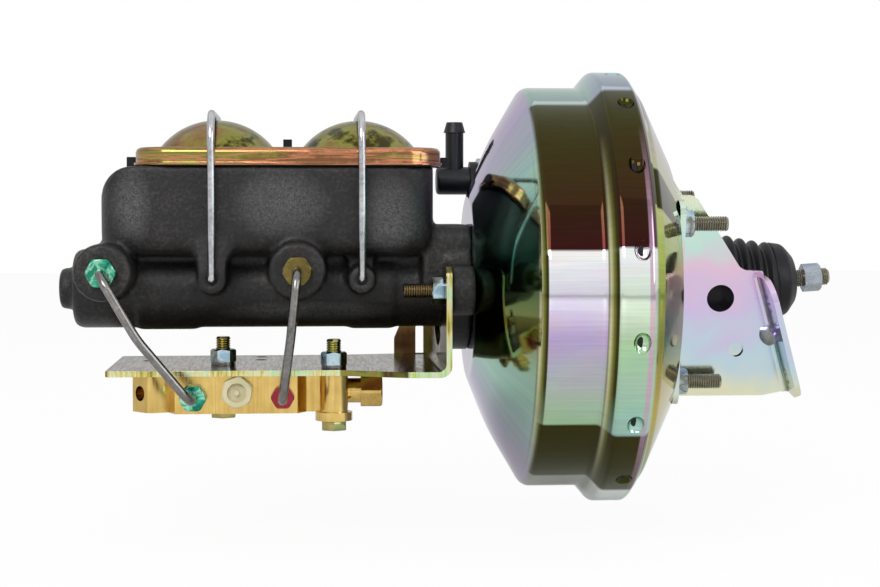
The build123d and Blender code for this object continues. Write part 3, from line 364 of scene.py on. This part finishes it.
finishes = {
    "zinc_yellow": drumZinc(),
    "zinc_bracket": bracketZinc(),
    "zinc_olive": bracketOlive(),
    "stud": cloudZinc("studZinc", [
        (0.30, (0.15, 0.14, 0.10)), (0.48, (0.32, 0.30, 0.23)), (0.66, (0.24, 0.23, 0.19))],
        (0.14, 0.22), 60.0),
    "zinc_blue": cloudZinc("blueZinc", [
        (0.36, (0.25, 0.39, 0.48)), (0.48, (0.42, 0.54, 0.60)), (0.56, (0.17, 0.17, 0.14)),
        (0.66, (0.36, 0.45, 0.47))], (0.12, 0.22), 70.0, 1.0),
    "cover_gold": coverGold(),
    "bolt": cloudZinc("boltZinc", [
        (0.30, (0.20, 0.15, 0.05)), (0.50, (0.38, 0.33, 0.12)), (0.70, (0.24, 0.30, 0.13))],
        (0.12, 0.2), 60.0, 1.0),
    "nutGrey": cloudZinc("nutGrey", [
        (0.34, (0.22, 0.26, 0.31)), (0.50, (0.34, 0.39, 0.44)), (0.66, (0.28, 0.30, 0.33))],
        (0.22, 0.3), 90.0, 0.8),
    "thread": cloudZinc("threadZinc", [
        (0.30, (0.12, 0.07, 0.03)), (0.50, (0.26, 0.17, 0.08)), (0.70, (0.20, 0.16, 0.09))],
        (0.2, 0.32), 60.0, 1.0),
    "cast_iron": castIron(),
    "steel": drawnMetal("bareSteel", (0.12, 0.115, 0.11), (0.26, 0.25, 0.24), 1.0, (0.16, 0.28)),
    "spring_steel": drawnMetal("springSteel", (0.40, 0.40, 0.41), (0.62, 0.62, 0.63), 1.0, (0.14, 0.22)),
    "wire": drawnMetal("bailWire", (0.30, 0.30, 0.32), (0.54, 0.54, 0.56), 1.0, (0.16, 0.26)),
    "aluminium": drawnMetal("turnedAluminium", (0.66, 0.66, 0.67), (0.80, 0.80, 0.80)),
    "brass": drawnMetal("machinedBrass", (0.46, 0.30, 0.08), (0.68, 0.49, 0.17), 1.0, (0.14, 0.24),
                        (900.0, 900.0, 40.0)),
    "green_dye": cloudZinc("greenDye", [
        (0.36, (0.01, 0.14, 0.09)), (0.46, (0.04, 0.34, 0.22)), (0.54, (0.30, 0.62, 0.44)),
        (0.62, (0.02, 0.22, 0.14))], (0.12, 0.24), 150.0),
    "gold_dye": drawnMetal("goldDye", (0.10, 0.075, 0.02), (0.22, 0.17, 0.05), 0.9, (0.16, 0.28)),
    "red_dye": drawnMetal("redDye", (0.14, 0.01, 0.015), (0.34, 0.03, 0.05), 0.75, (0.16, 0.28)),
    "white_plastic": moulded("creamNylon", (0.40, 0.36, 0.20), (0.56, 0.51, 0.32), (0.35, 0.5)),
    "black_plastic": moulded(
        "blackNylon", (0.004, 0.005, 0.007), (0.010, 0.011, 0.014), (0.30, 0.42), shine=0.25),
    "phenolic": moulded("phenolic", (0.03, 0.025, 0.02), (0.06, 0.05, 0.045)),
    "rubber": moulded("blackRubber", (0.003, 0.003, 0.004), (0.008, 0.008, 0.011), (0.34, 0.5), shine=0.2),
    "felt": moulded("greyFelt", (0.30, 0.29, 0.26), (0.42, 0.41, 0.37), (0.9, 1.0), 2500.0, 0.5),
}
slotOf = {part["node"]: part["material_slot"] for part in frame["record"]["subparts"]}
bodyOf = {node: body for body, members in frame["record"]["behaviour"]["bodies"].items() for node in members}
for name, node in nodes.items():
    node.data.materials.clear()
    node.data.materials.append(finishes["wire" if name.endswith("_bail") else slotOf[name]])
print("materials made")


def activate(piece):
    if bpy.context.object and bpy.context.object.mode != "OBJECT":
        bpy.ops.object.mode_set(mode="OBJECT")
    bpy.ops.object.select_all(action="DESELECT")
    if piece:
        piece.select_set(True)
        bpy.context.view_layer.objects.active = piece


# Corners are (x, r, radius); each rounded corner becomes an arc
def roundedPath(corners, arcSteps):
    path = []
    for index, (x, r, radius) in enumerate(corners):
        here = Vector((x, r))
        if radius == 0 or index in (0, len(corners) - 1):
            path.append(here)
            continue
        before = (Vector(corners[index - 1][:2]) - here).normalized()
        after = (Vector(corners[index + 1][:2]) - here).normalized()
        half = before.angle(after) / 2
        centre = here + (before + after).normalized() * (radius / math.sin(half))
        start = here + before * (radius / math.tan(half)) - centre
        end = here + after * (radius / math.tan(half)) - centre
        turn = math.atan2(start.x * end.y - start.y * end.x, start.dot(end))
        for step in range(arcSteps + 1):
            angle = turn * step / arcSteps
            path.append(centre + Vector((start.x * math.cos(angle) - start.y * math.sin(angle),
                                         start.x * math.sin(angle) + start.y * math.cos(angle))))
    return path


# A profile of (x, r) in millimetres, drawn point by point and spun about the X axis
def spunPiece(name, profile, steps, closed=True):
    activate(None)
    bpy.ops.mesh.primitive_circle_add(vertices=3, radius=mm, location=(0, 0, 0))
    piece = bpy.context.object
    piece.name = name
    bpy.ops.object.mode_set(mode="EDIT")
    bpy.ops.mesh.select_all(action="SELECT")
    bpy.ops.mesh.merge(type="CENTER")
    points = [Vector((x * mm, 0, r * mm)) for x, r in profile]
    bpy.ops.transform.translate(value=points[0])
    for start, end in zip(points, points[1:] + (points[:1] if closed else [])):
        bpy.ops.mesh.extrude_vertices_move(TRANSFORM_OT_translate={"value": end - start})
    bpy.ops.mesh.select_all(action="SELECT")
    bpy.ops.mesh.remove_doubles(threshold=0.00001)
    bpy.ops.mesh.select_all(action="SELECT")
    bpy.ops.mesh.spin(steps=steps, angle=2 * math.pi, center=(0, 0, 0), axis=(1, 0, 0))
    bpy.ops.mesh.select_all(action="SELECT")
    bpy.ops.mesh.remove_doubles(threshold=0.00001)
    bpy.ops.mesh.normals_make_consistent(inside=False)
    bpy.ops.object.mode_set(mode="OBJECT")
    return piece


# Moves a finished shape to its place and leaves the object itself at the origin
def placed(piece, where=(0, 0, 0), turn=(0, 0, 0)):
    activate(piece)
    piece.location = Vector(where) * mm
    piece.rotation_euler = [math.radians(angle) for angle in turn]
    bpy.ops.object.transform_apply(location=True, rotation=True, scale=True)
    return piece


def joined(name, parts):
    activate(parts[0])
    for part in parts[1:]:
        part.select_set(True)
    if len(parts) > 1:
        bpy.ops.object.join()
    parts[0].name = name
    return parts[0]


def shaded(piece, degrees):
    activate(piece)
    bpy.ops.object.shade_smooth_by_angle(angle=math.radians(degrees))
    return piece


# Gives a piece its finish, its body and the CAD nodes that it takes the place of
def dressed(piece, replaced, finish=None, more=(), body=None):
    piece.data.materials.clear()
    piece.data.materials.append(finishes[finish or slotOf[replaced]])
    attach(piece, body or bodyOf[replaced])
    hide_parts(replaced, *more)
    return piece


def cut(piece, cutter):
    change = piece.modifiers.new("cut", "BOOLEAN")
    change.operation = "DIFFERENCE"
    change.object = cutter
    activate(piece)
    bpy.ops.object.modifier_apply(modifier="cut")
    bpy.data.objects.remove(cutter)


def rodAlongX(radius, start, end, y=0.0, z=0.0, sides=48):
    activate(None)
    bpy.ops.mesh.primitive_cylinder_add(vertices=sides, radius=radius * mm, depth=(end - start) * mm)
    return placed(bpy.context.object, ((start + end) / 2, y, z), (0, 90, 0))


# A copy of a CAD node's mesh with its loose faces sewn together
def cadCopy(node, name):
    piece = nodes[node].copy()
    piece.data = nodes[node].data.copy()
    piece.parent = None
    for key in list(piece.keys()):
        del piece[key]
    piece.name = name
    bpy.context.scene.collection.objects.link(piece)
    activate(piece)
    bpy.ops.object.mode_set(mode="EDIT")
    bpy.ops.mesh.select_all(action="SELECT")
    bpy.ops.mesh.remove_doubles(threshold=0.000005)
    bpy.ops.object.mode_set(mode="OBJECT")
    return piece


# Rigid CAD shapes with their sharp edges rounded, each width in millimetres
softEdges = {
    "near_firewall_bracket": 0.5, "far_firewall_bracket": 0.5, "valve_bracket": 0.5, "valve_body": 0.35,
    "outlet_fitting": 0.3, "switch_plug": 0.4, "reservoir_cover": 0.35, "cover_gasket": 0.5,
    "rear_nuts": 0.25, "front_nuts": 0.25, "valve_nuts": 0.25, "green_line_nuts": 0.25,
    "gold_line_nut": 0.25, "red_line_nut": 0.25, "pushrod_nut": 0.25, "valve_washers": 0.2,
    "check_valve": 0.3,
}
# In degrees: faces closer than flat become one, edges past sharp are rounded, those under smooth shade over
edgeAngles = {"flat": 0.6, "sharp": 38, "smooth": 32}


def makeSoftened():
    for node, width in softEdges.items():
        words = node.split("_")
        piece = cadCopy(node, words[0] + "".join(word.title() for word in words[1:]))
        bpy.ops.object.mode_set(mode="EDIT")
        bpy.ops.mesh.select_all(action="SELECT")
        bpy.ops.mesh.dissolve_limited(angle_limit=math.radians(edgeAngles["flat"]))
        bpy.ops.object.mode_set(mode="OBJECT")
        soften = piece.modifiers.new("soften", "BEVEL")
        soften.width = width * mm
        soften.segments = 2
        soften.limit_method = "ANGLE"
        soften.angle_limit = math.radians(edgeAngles["sharp"])
        soften.use_clamp_overlap = True
        bpy.ops.object.modifier_apply(modifier="soften")
        shaded(piece, edgeAngles["smooth"])
        even = piece.modifiers.new("even", "WEIGHTED_NORMAL")
        even.keep_sharp = True
        bpy.ops.object.modifier_apply(modifier="even")
        dressed(piece, node, "nutGrey" if node == "pushrod_nut" else None)


makeSoftened()
print("edges softened")

# Cast skin: the CAD casting remeshed and softened, so that its corners flow into each other
casting = {
    "voxel": 1.25, "rounds": 4, "pull": 0.6, "bossX": (-298.0, -219.9), "bossY": 44.6, "bossZ": 5.8,
    "bossTop": 37.8, "bossHalf": 7.5, "flush": 30.0, "tankY": 42.0, "tankZ": 18.6, "tankRound": 11.0,
    "leanStart": 9.8, "flareZ": (12.8, 26.8), "flareY": 34.0, "flare": 6.0, "beyond": 52.0, "slabY": 24.0,
    "reach": 20.0, "room": 3.0,
}


# Block with eight corners: its foot and its top each given by (x0, x1), (y0, y1) and a height
def taperedBlock(foot, top):
    activate(None)
    bpy.ops.mesh.primitive_cube_add(size=2 * mm)
    block = bpy.context.object
    for corner in block.data.vertices:
        x, y, z = top if corner.co.z > 0 else foot
        x = max(x) if corner.co.x > 0 else min(x)
        y = max(y) if corner.co.y > 0 else min(y)
        corner.co = Vector((x, y, z)) * mm
    return block


# The front bail's bosses lean back until they are flush with the tank and flare at the sides;
# the rear bail's are cut off above their round eyes, along the tank's rounded bottom
def makeCasting():
    c = casting
    halves = ("cylinder_body", "reservoir_body")
    flares, cutters = [], []
    front, rear = c["bossX"]
    half, face, wall = c["bossHalf"], c["bossY"], c["tankY"]
    for side in (-1, 1):
        outside, flareIn, flareOut = side * c["beyond"], side * c["flareY"], side * wall
        flareFoot, flareTop = c["flareZ"]
        for way in (-1, 1):
            beside = front + way * half
            flares.append(taperedBlock(
                ((beside - 0.3, beside + 0.3), (flareIn, flareOut - side), flareFoot),
                ((beside, beside + way * c["flare"]), (flareIn, flareOut - side * 0.2), flareTop)))
        wide = (front - half - c["room"], front + half + c["room"])
        cutters.append(taperedBlock(
            (wide, (side * face, outside), c["leanStart"]), (wide, (side * wall, outside), c["flush"])))
        rest = ((front - 30, rear + 30), (side * (wall + 0.15), outside))
        cutters.append(taperedBlock((*rest, c["flush"] - 0.1), (*rest, c["bossTop"] + 2)))
        pad = ((rear - half - c["room"], rear + half + c["room"]), (side * c["slabY"], outside))
        slab = taperedBlock((*pad, c["bossZ"]), (*pad, c["flush"]))
        rounded = c["tankRound"]
        low = c["tankZ"] + rounded
        along = (rear - c["reach"], rear + c["reach"])
        cut(slab, rodAlongX(rounded, *along, side * (wall - rounded), low))
        for depth, foot, top in ((wall - rounded, c["tankZ"], low), (wall, low, low + c["reach"])):
            span = (along, (side * c["reach"], side * depth))
            cut(slab, taperedBlock((*span, foot), (*span, top)))
        activate(None)
        bpy.ops.mesh.primitive_cylinder_add(vertices=64, radius=(half - 0.2) * mm, depth=120 * mm)
        cut(slab, placed(bpy.context.object, (rear, 0, c["bossZ"]), (90, 0, 0)))
        cutters.append(slab)
    piece = joined("castCylinder", [cadCopy(name, name + "Copy") for name in halves] + flares)
    activate(piece)
    bpy.ops.object.mode_set(mode="EDIT")
    bpy.ops.mesh.select_all(action="SELECT")
    bpy.ops.mesh.normals_make_consistent(inside=False)
    bpy.ops.object.mode_set(mode="OBJECT")
    for layer in ("skin", "skinAgain"):
        remesh = piece.modifiers.new(layer, "REMESH")
        remesh.mode = "VOXEL"
        remesh.voxel_size = c["voxel"] * mm
        activate(piece)
        bpy.ops.object.modifier_apply(modifier=layer)
        while cutters:
            cut(piece, cutters.pop())
    soften = piece.modifiers.new("soften", "SMOOTH")
    soften.factor = c["pull"]
    soften.iterations = c["rounds"]
    bpy.ops.object.modifier_apply(modifier="soften")
    bpy.ops.object.shade_smooth()
    dressed(piece, halves[0], more=halves[1:])


makeCasting()
print("casting made")

# Front drum: cone, cylinder and the rim that wraps the rear housing, with its crimp dents; the seat is
# the collar of the check valve, and a dent is given by its ball's radius and its depth
drum = {
    "front": -161.0, "hole": 19.0, "flat": 50.05, "midX": -149.5, "midR": 78.7, "coneEnd": -131.8,
    "can": 108.8, "lip": -102.0, "rimFront": -95.0, "rim": 117.3, "rimRear": -79.0, "sheet": 1.8,
    "rimSheet": 3.5,
    "dents": 16, "firstDent": 11.25, "dentX": -84.8, "dent": (6.6, 2.9), "dentLength": 0.8,
    "seat": 13.0, "seatX": -150.5, "seatPlace": (58.0, 59.0), "seatDepth": 13.0, "seatLip": 4.5,
}


def makeFrontDrum():
    d = drum
    t = d["sheet"]
    outer = [
        (d["front"], d["hole"], 0), (d["front"], d["flat"], 10), (d["midX"], d["midR"], 150),
        (d["coneEnd"], d["can"], 6), (d["lip"], d["can"], 4), (d["rimFront"], d["rim"], 4),
        (d["rimRear"], d["rim"], 2.4), (d["rimRear"] + 3.2, d["rim"] - 4.6, 0),
    ]
    inner = [
        (d["rimRear"] + 1.7, d["rim"] - 5.6, 0), (d["rimRear"] - 0.7, d["rim"] - d["rimSheet"], 0),
        (d["rimFront"] + 0.8, d["rim"] - d["rimSheet"], 3), (d["lip"] + 0.8, d["can"] - t, 3),
        (d["coneEnd"] + 1, d["can"] - t, 5), (d["midX"] + 1.7, d["midR"] - 0.7, 120),
        (d["front"] + t, d["flat"] - 0.4, 8), (d["front"] + t, d["hole"], 0),
    ]
    piece = spunPiece("frontDrum", roundedPath(outer, 8) + roundedPath(inner, 4), 240)
    y, z = d["seatPlace"]
    cut(piece, rodAlongX(d["seat"] - 0.1, -166, -130, y, z))
    dents = []
    ball, deep = d["dent"]
    for index in range(d["dents"]):
        angle = d["firstDent"] + index * 360 / d["dents"]
        activate(None)
        bpy.ops.mesh.primitive_uv_sphere_add(segments=32, ring_count=24, radius=ball * mm)
        dent = bpy.context.object
        dent.scale = (d["dentLength"], 1, 1)
        placed(dent, (d["dentX"], 0, d["rim"] + ball - deep))
        dents.append(placed(dent, turn=(angle + 90, 0, 0)))
    cut(piece, joined("dents", dents))
    x, r, end, lip = d["seatX"], d["seat"], d["seatX"] + d["seatDepth"], d["seat"] - d["seatLip"]
    seat = spunPiece("seat", roundedPath([
        (x, lip, 0), (x, r, 1.2), (end, r, 0), (end, r - t, 0), (x + t, r - t, 0.6), (x + t, lip, 0)], 4), 64)
    piece = joined("frontDrum", [piece, placed(seat, (0, y, z))])
    shaded(piece, 40)
    dressed(piece, "front_shell")


makeFrontDrum()

rearDrum = {"face": -55.5, "flat": 74.0, "neck": 23.0, "neckEnd": -24.0, "slopeX": -63.0, "slopeR": 89.0}


def makeRearDrum():
    d = {**drum, **rearDrum}
    t = d["sheet"]
    outer = [
        (d["neckEnd"], d["neck"], 0), (d["face"], d["neck"], 4), (d["face"], d["flat"], 8),
        (d["slopeX"], d["slopeR"], 40), (d["rimRear"] + 6.5, d["can"] - 0.5, 5),
        (d["rimRear"] + 1.4, d["rim"] - t - 4.6, 0.9),
        (d["rimRear"] - 0.95, d["rim"] - d["rimSheet"] - 0.3, 0),
    ]
    inner = [
        (d["rimRear"] - 2.6, d["rim"] - d["rimSheet"] - 1.0, 0), (d["rimRear"] - 0.2, d["rim"] - t - 6.0, 1),
        (d["rimRear"] + 5.4, d["can"] - 1.9, 4), (d["slopeX"] - t, d["slopeR"] - 0.8, 30),
        (d["face"] - t, d["flat"] - 0.5, 8), (d["face"] - t, d["neck"] - t, 5),
        (d["neckEnd"], d["neck"] - t, 0),
    ]
    piece = spunPiece("rearDrum", roundedPath(outer, 8) + roundedPath(inner, 4), 240)
    dressed(shaded(piece, 40), "rear_shell")


makeRearDrum()
print("drum made")


# Screw thread as rings along X, with both its ends at the foot of the thread
def threadRings(start, end, radius, pitch=1.25):
    depth = pitch * 0.55
    count = round((end - start) / pitch)
    rings = []
    for index in range(count):
        x = start + index * pitch
        rings += [(x, radius - depth), (x + pitch * 0.42, radius), (x + pitch * 0.58, radius)]
    return rings + [(end, radius - depth)]


def hexHead(flats, height, where):
    activate(None)
    bpy.ops.mesh.primitive_cylinder_add(vertices=6, radius=flats / math.sqrt(3) * mm, depth=height * mm)
    head = placed(bpy.context.object, where)
    edge = head.modifiers.new("edge", "BEVEL")
    edge.width = 0.5 * mm
    edge.segments = 2
    bpy.ops.object.modifier_apply(modifier="edge")
    return head


studs = {
    "spacing": 85.7, "clock": 9.6, "radius": 4.0, "rearHead": -60.3, "rearTip": -27.5, "frontTip": -198.3,
    "frontShank": -175.0, "frontHead": -156.2, "headRadius": (7.5, 5.0), "headHeight": 3.0,
}


def makeStuds():
    s = studs
    half = s["spacing"] / 2
    clock = math.radians(s["clock"])
    rear = []
    for y in (-half, half):
        for z in (-half, half):
            x, wide = s["rearHead"], s["headRadius"][0]
            neck = x + s["headHeight"]
            profile = [(x, 0), (x, wide), (neck, wide), (neck, s["radius"])]
            profile += threadRings(neck + 3, s["rearTip"], s["radius"]) + [(s["rearTip"] + 0.2, 0)]
            turned = (0, y * math.cos(clock) - z * math.sin(clock), y * math.sin(clock) + z * math.cos(clock))
            rear.append(placed(spunPiece("stud", profile, 28, False), turned))
    dressed(shaded(joined("rearStuds", rear), 30), "rear_studs", "stud")
    front = []
    for y in (-half, half):
        x, wide = s["frontHead"], s["headRadius"][1]
        neck = x - s["headHeight"]
        profile = [(s["frontTip"] - 0.2, 0)] + threadRings(s["frontTip"], s["frontShank"] - 1, s["radius"])
        profile += [(s["frontShank"], s["radius"]), (neck, s["radius"]), (neck, wide), (x, wide), (x, 0)]
        front.append(placed(spunPiece("stud", profile, 28, False), (0, y, 0)))
    dressed(shaded(joined("frontStuds", front), 30), "front_studs", "thread")


makeStuds()

# Upright bolts through the valve; a place is x, y and the height of the head's seat
bolts = {
    "places": ((-293.6, -10.0, -64.1), (-234.6, -34.0, -68.6)), "threadStart": -45.0, "tip": -25.7,
    "radius": 3.97, "flats": 12.7, "head": 5.3,
}


def makeBolts():
    b = bolts
    parts = []
    for x, y, seat in b["places"]:
        profile = [(seat - 1, 0), (seat - 1, b["radius"]), (b["threadStart"] - 1, b["radius"])]
        profile += threadRings(b["threadStart"], b["tip"], b["radius"]) + [(b["tip"] + 0.2, 0)]
        parts.append(placed(spunPiece("bolt", profile, 28, False), (x, y, 0), (0, -90, 0)))
        parts.append(hexHead(b["flats"], b["head"], (x, y, seat - b["head"] / 2)))
    dressed(shaded(joined("valveBolts", parts), 30), "valve_bolts", "bolt")


makeBolts()
print("studs and bolts made")

# Pushrod, its shapes measured from the pivot and then tilted with it
rodLook = {"pivot": -38.6, "tilt": 3.9, "ball": 6.0, "radius": 4.76, "tip": 41.2, "threadStart": 12.0}


def tilted(piece):
    return placed(piece, (rodLook["pivot"], 0, 0), (0, -rodLook["tilt"], 0))


def makePushrod():
    r = rodLook
    arc = [math.radians(180 - step * 10) for step in range(13)]
    profile = [(r["ball"] * math.cos(angle), r["ball"] * math.sin(angle)) for angle in arc]
    profile += [(r["ball"], r["radius"]), (r["threadStart"] - r["pivot"], r["radius"])]
    profile += threadRings(r["threadStart"] + 1 - r["pivot"], r["tip"] - r["pivot"] - 0.9, r["radius"], 1.06)
    profile += [(r["tip"] - r["pivot"], r["radius"] - 1.0), (r["tip"] - r["pivot"], 0)]
    dressed(shaded(tilted(spunPiece("pushrodThread", profile, 32, False)), 30), "pushrod", "stud")


makePushrod()

# Rubber boot: a sleeve on the neck, folds, and a cap that goes with the rod
boot = {
    "front": -44.0, "foldStart": -24.0, "foldEnd": 9.0, "sleeve": 24.65, "lip": 1.2, "thick": 1.6,
    "folds": 4, "crest": 28.7, "valley": 23.6, "pitch": 7.0, "firstCrest": -16.1, "taper": 1.2,
    "endRadius": 21.0, "capEnd": 20.5, "keep": 0.13,
}


def makeBoot():
    b = boot
    t = b["thick"]
    lip, sleeveEnd = b["sleeve"] + b["lip"], b["foldStart"] + 0.6
    sleeve = roundedPath([
        (b["front"], b["sleeve"] - t, 0), (b["front"], lip, 0.8), (b["front"] + 4, lip, 0.8),
        (b["front"] + 5, b["sleeve"], 0.8), (sleeveEnd, b["sleeve"], 0), (sleeveEnd, b["sleeve"] - t, 0),
    ], 4)
    piece = shaded(spunPiece("bootSleeve", sleeve, 120), 50)
    dressed(piece, "boot_bellows")
    outer = [(b["foldStart"], b["sleeve"], 0), (b["firstCrest"] - 5.4, b["sleeve"], 1)]
    for fold in range(b["folds"]):
        x = b["firstCrest"] + fold * b["pitch"]
        drop = b["taper"] * fold
        outer.append((x, b["crest"] - drop, 1.4))
        if fold < b["folds"] - 1:
            outer.append((x + b["pitch"] / 2, b["valley"] - drop, 1.1))
    outer.append((b["foldEnd"], b["endRadius"], 0))
    path = roundedPath(outer, 6)
    piece = spunPiece("bootFolds", path + [Vector((p.x, p.y - t)) for p in reversed(path)], 120)
    dressed(shaded(piece, 60), "boot_bellows")
    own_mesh(piece)
    start, end = b["foldEnd"] - 1.0 - rodLook["pivot"], b["capEnd"] - rodLook["pivot"]
    grip = rodLook["radius"] - 0.2
    cap = roundedPath([
        (start, b["endRadius"] - 1.9, 0), (start, b["endRadius"] + 0.2, 0.8), (end - 5.5, 19.8, 5),
        (end, 13.0, 4), (end, 8.2, 1), (end + t, 7.4, 1), (end + t, grip, 0),
    ], 8)
    inner = [(end - t, grip), (end - t, 12.0), (end - 6, 18.0)]
    piece = tilted(spunPiece("bootCap", cap + [Vector(point) for point in inner], 120))
    dressed(shaded(piece, 40), "boot_cap")


makeBoot()
print("pushrod and boot made")

# Coil springs: the body that each stands on, the joint that presses it, its anchor, length and travel
springs = {
    "return_spring": ("housing", "booster_stroke", -157.49, 76.88, 28.0),
    "primary_spring": ("secondary_piston", "booster_stroke", -261.79, 29.58, 12.6),
    "secondary_spring": ("housing", "booster_stroke", -361.79, 47.58, 15.4),
    "prop_spring": ("housing", "prop_slide", -233.4, 6.7, 2.0),
}


def makeSprings():
    for node, (body, joint, anchor, length, travel) in springs.items():
        piece = shaded(cadCopy(node, node.replace("_spring", "Coils")), 50)
        dressed(piece, node, body=body)
        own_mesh(piece)


makeSprings()
print("springs made")

# Stage: pale floor, soft lamps, and the camera of the photograph with its frame and centre in pixels
stage = {
    "floor": -0.135, "floorSize": 8.0, "floorGlow": 0.93, "ambient": 0.55, "eye": (-0.2522, -1.0, 0.0443),
    "pixelFocal": 1830.0, "frame": (880, 587), "principal": (300.0, 206.0), "sensor": 36.0,
    "lampAim": (-0.15, 0, 0),
    "lamps": {
        "key": ((-0.9, -1.6, 1.1), 26, (1.3, 1.0)),
        "fill": ((1.2, -1.2, 0.6), 9, (1.0, 1.0)),
        "top": ((-0.1, 0.0, 2.2), 20, (4.0, 4.0)),
    },
}
# Outputs of the light path node
rayKind = {"glossy": 3, "through": 6}


def makeFloor():
    activate(None)
    bpy.ops.mesh.primitive_plane_add(size=stage["floorSize"], location=(0, 0, stage["floor"]))
    floor = bpy.context.object
    floor.name = "floor"
    f = Finish("paleFloor")
    colour = f.mixed(f.noise(f.place(), 3.0, 2.0), (0.84, 0.84, 0.84), (0.87, 0.87, 0.87))
    f.set(Base_Color=colour, Roughness=0.7)
    glow = f.node("ShaderNodeEmission", None, {"Color": (1, 1, 1, 1), "Strength": 1.0})
    ray = f.node("ShaderNodeLightPath")
    seen = ray.math("MAXIMUM", ray.other(rayKind["through"])) * stage["floorGlow"]
    blend = f.node("ShaderNodeMixShader", None, {0: seen})
    f.tree.links.new(f.shader.outputs[0], blend.source.inputs[1])
    f.tree.links.new(glow.socket, blend.source.inputs[2])
    f.tree.links.new(blend.socket, f.tree.nodes["Material Output"].inputs[0])
    floor.data.materials.append(f.material)


# White to the camera; mirrored in metal it is a little darker behind and overhead
def makeWorld():
    world = bpy.data.worlds.new("studio")
    bpy.context.scene.world = world
    f = Finish("studio", world)
    f.set(Color=(1, 1, 1, 1), Strength=stage["ambient"])
    ray = f.node("ShaderNodeLightPath")
    x, y, z = f.axes(f.node("ShaderNodeTexCoord"))
    behind = f.ramp(f.range(y, -1.0, 1.0), [
        (0.0, (1.0, 1.0, 1.0)), (0.55, (0.95, 0.95, 0.95)), (0.80, (0.82, 0.82, 0.82)),
        (1.0, (0.72, 0.72, 0.72))])
    mirrored = f.dimmed(behind, f.range(z, 0.35, 0.9, 1.0, 0.8))
    glossy = f.node("ShaderNodeBackground", None, [mirrored, 1.0])
    white = f.node("ShaderNodeBackground", None, [(1, 1, 1, 1), 1.0])
    first = f.node("ShaderNodeMixShader", None, {0: ray.other(rayKind["glossy"])})
    second = f.node("ShaderNodeMixShader", None, {0: ray.math("MAXIMUM", ray.other(rayKind["through"]))})
    f.tree.links.new(f.shader.outputs[0], first.source.inputs[1])
    f.tree.links.new(glossy.socket, first.source.inputs[2])
    f.tree.links.new(first.socket, second.source.inputs[1])
    f.tree.links.new(white.socket, second.source.inputs[2])
    f.tree.links.new(second.socket, f.tree.nodes["World Output"].inputs[0])


def makeLamps():
    for name, (place, power, size) in stage["lamps"].items():
        activate(None)
        bpy.ops.object.light_add(type="AREA", location=place)
        lamp = bpy.context.object
        lamp.name = name
        lamp.data.energy = power
        lamp.data.shape = "RECTANGLE"
        lamp.data.size, lamp.data.size_y = size
        lamp.rotation_euler = (Vector(stage["lampAim"]) - Vector(place)).to_track_quat("-Z", "Y").to_euler()


def makeCamera():
    width, height = stage["frame"]
    right = (width / 2 - stage["principal"][0]) / stage["pixelFocal"]
    down = (height / 2 - stage["principal"][1]) / stage["pixelFocal"]
    aim = Vector((right, 1.0, -down)).to_track_quat("-Z", "Y").to_euler()
    bpy.ops.object.camera_add(location=stage["eye"], rotation=aim)
    camera = bpy.context.object
    camera.data.sensor_width = stage["sensor"]
    camera.data.lens = stage["pixelFocal"] / width * stage["sensor"]
    bpy.context.scene.camera = camera


makeFloor()
makeWorld()
makeLamps()
makeCamera()
bpy.context.scene.view_settings.view_transform = "Standard"
print("stage made")
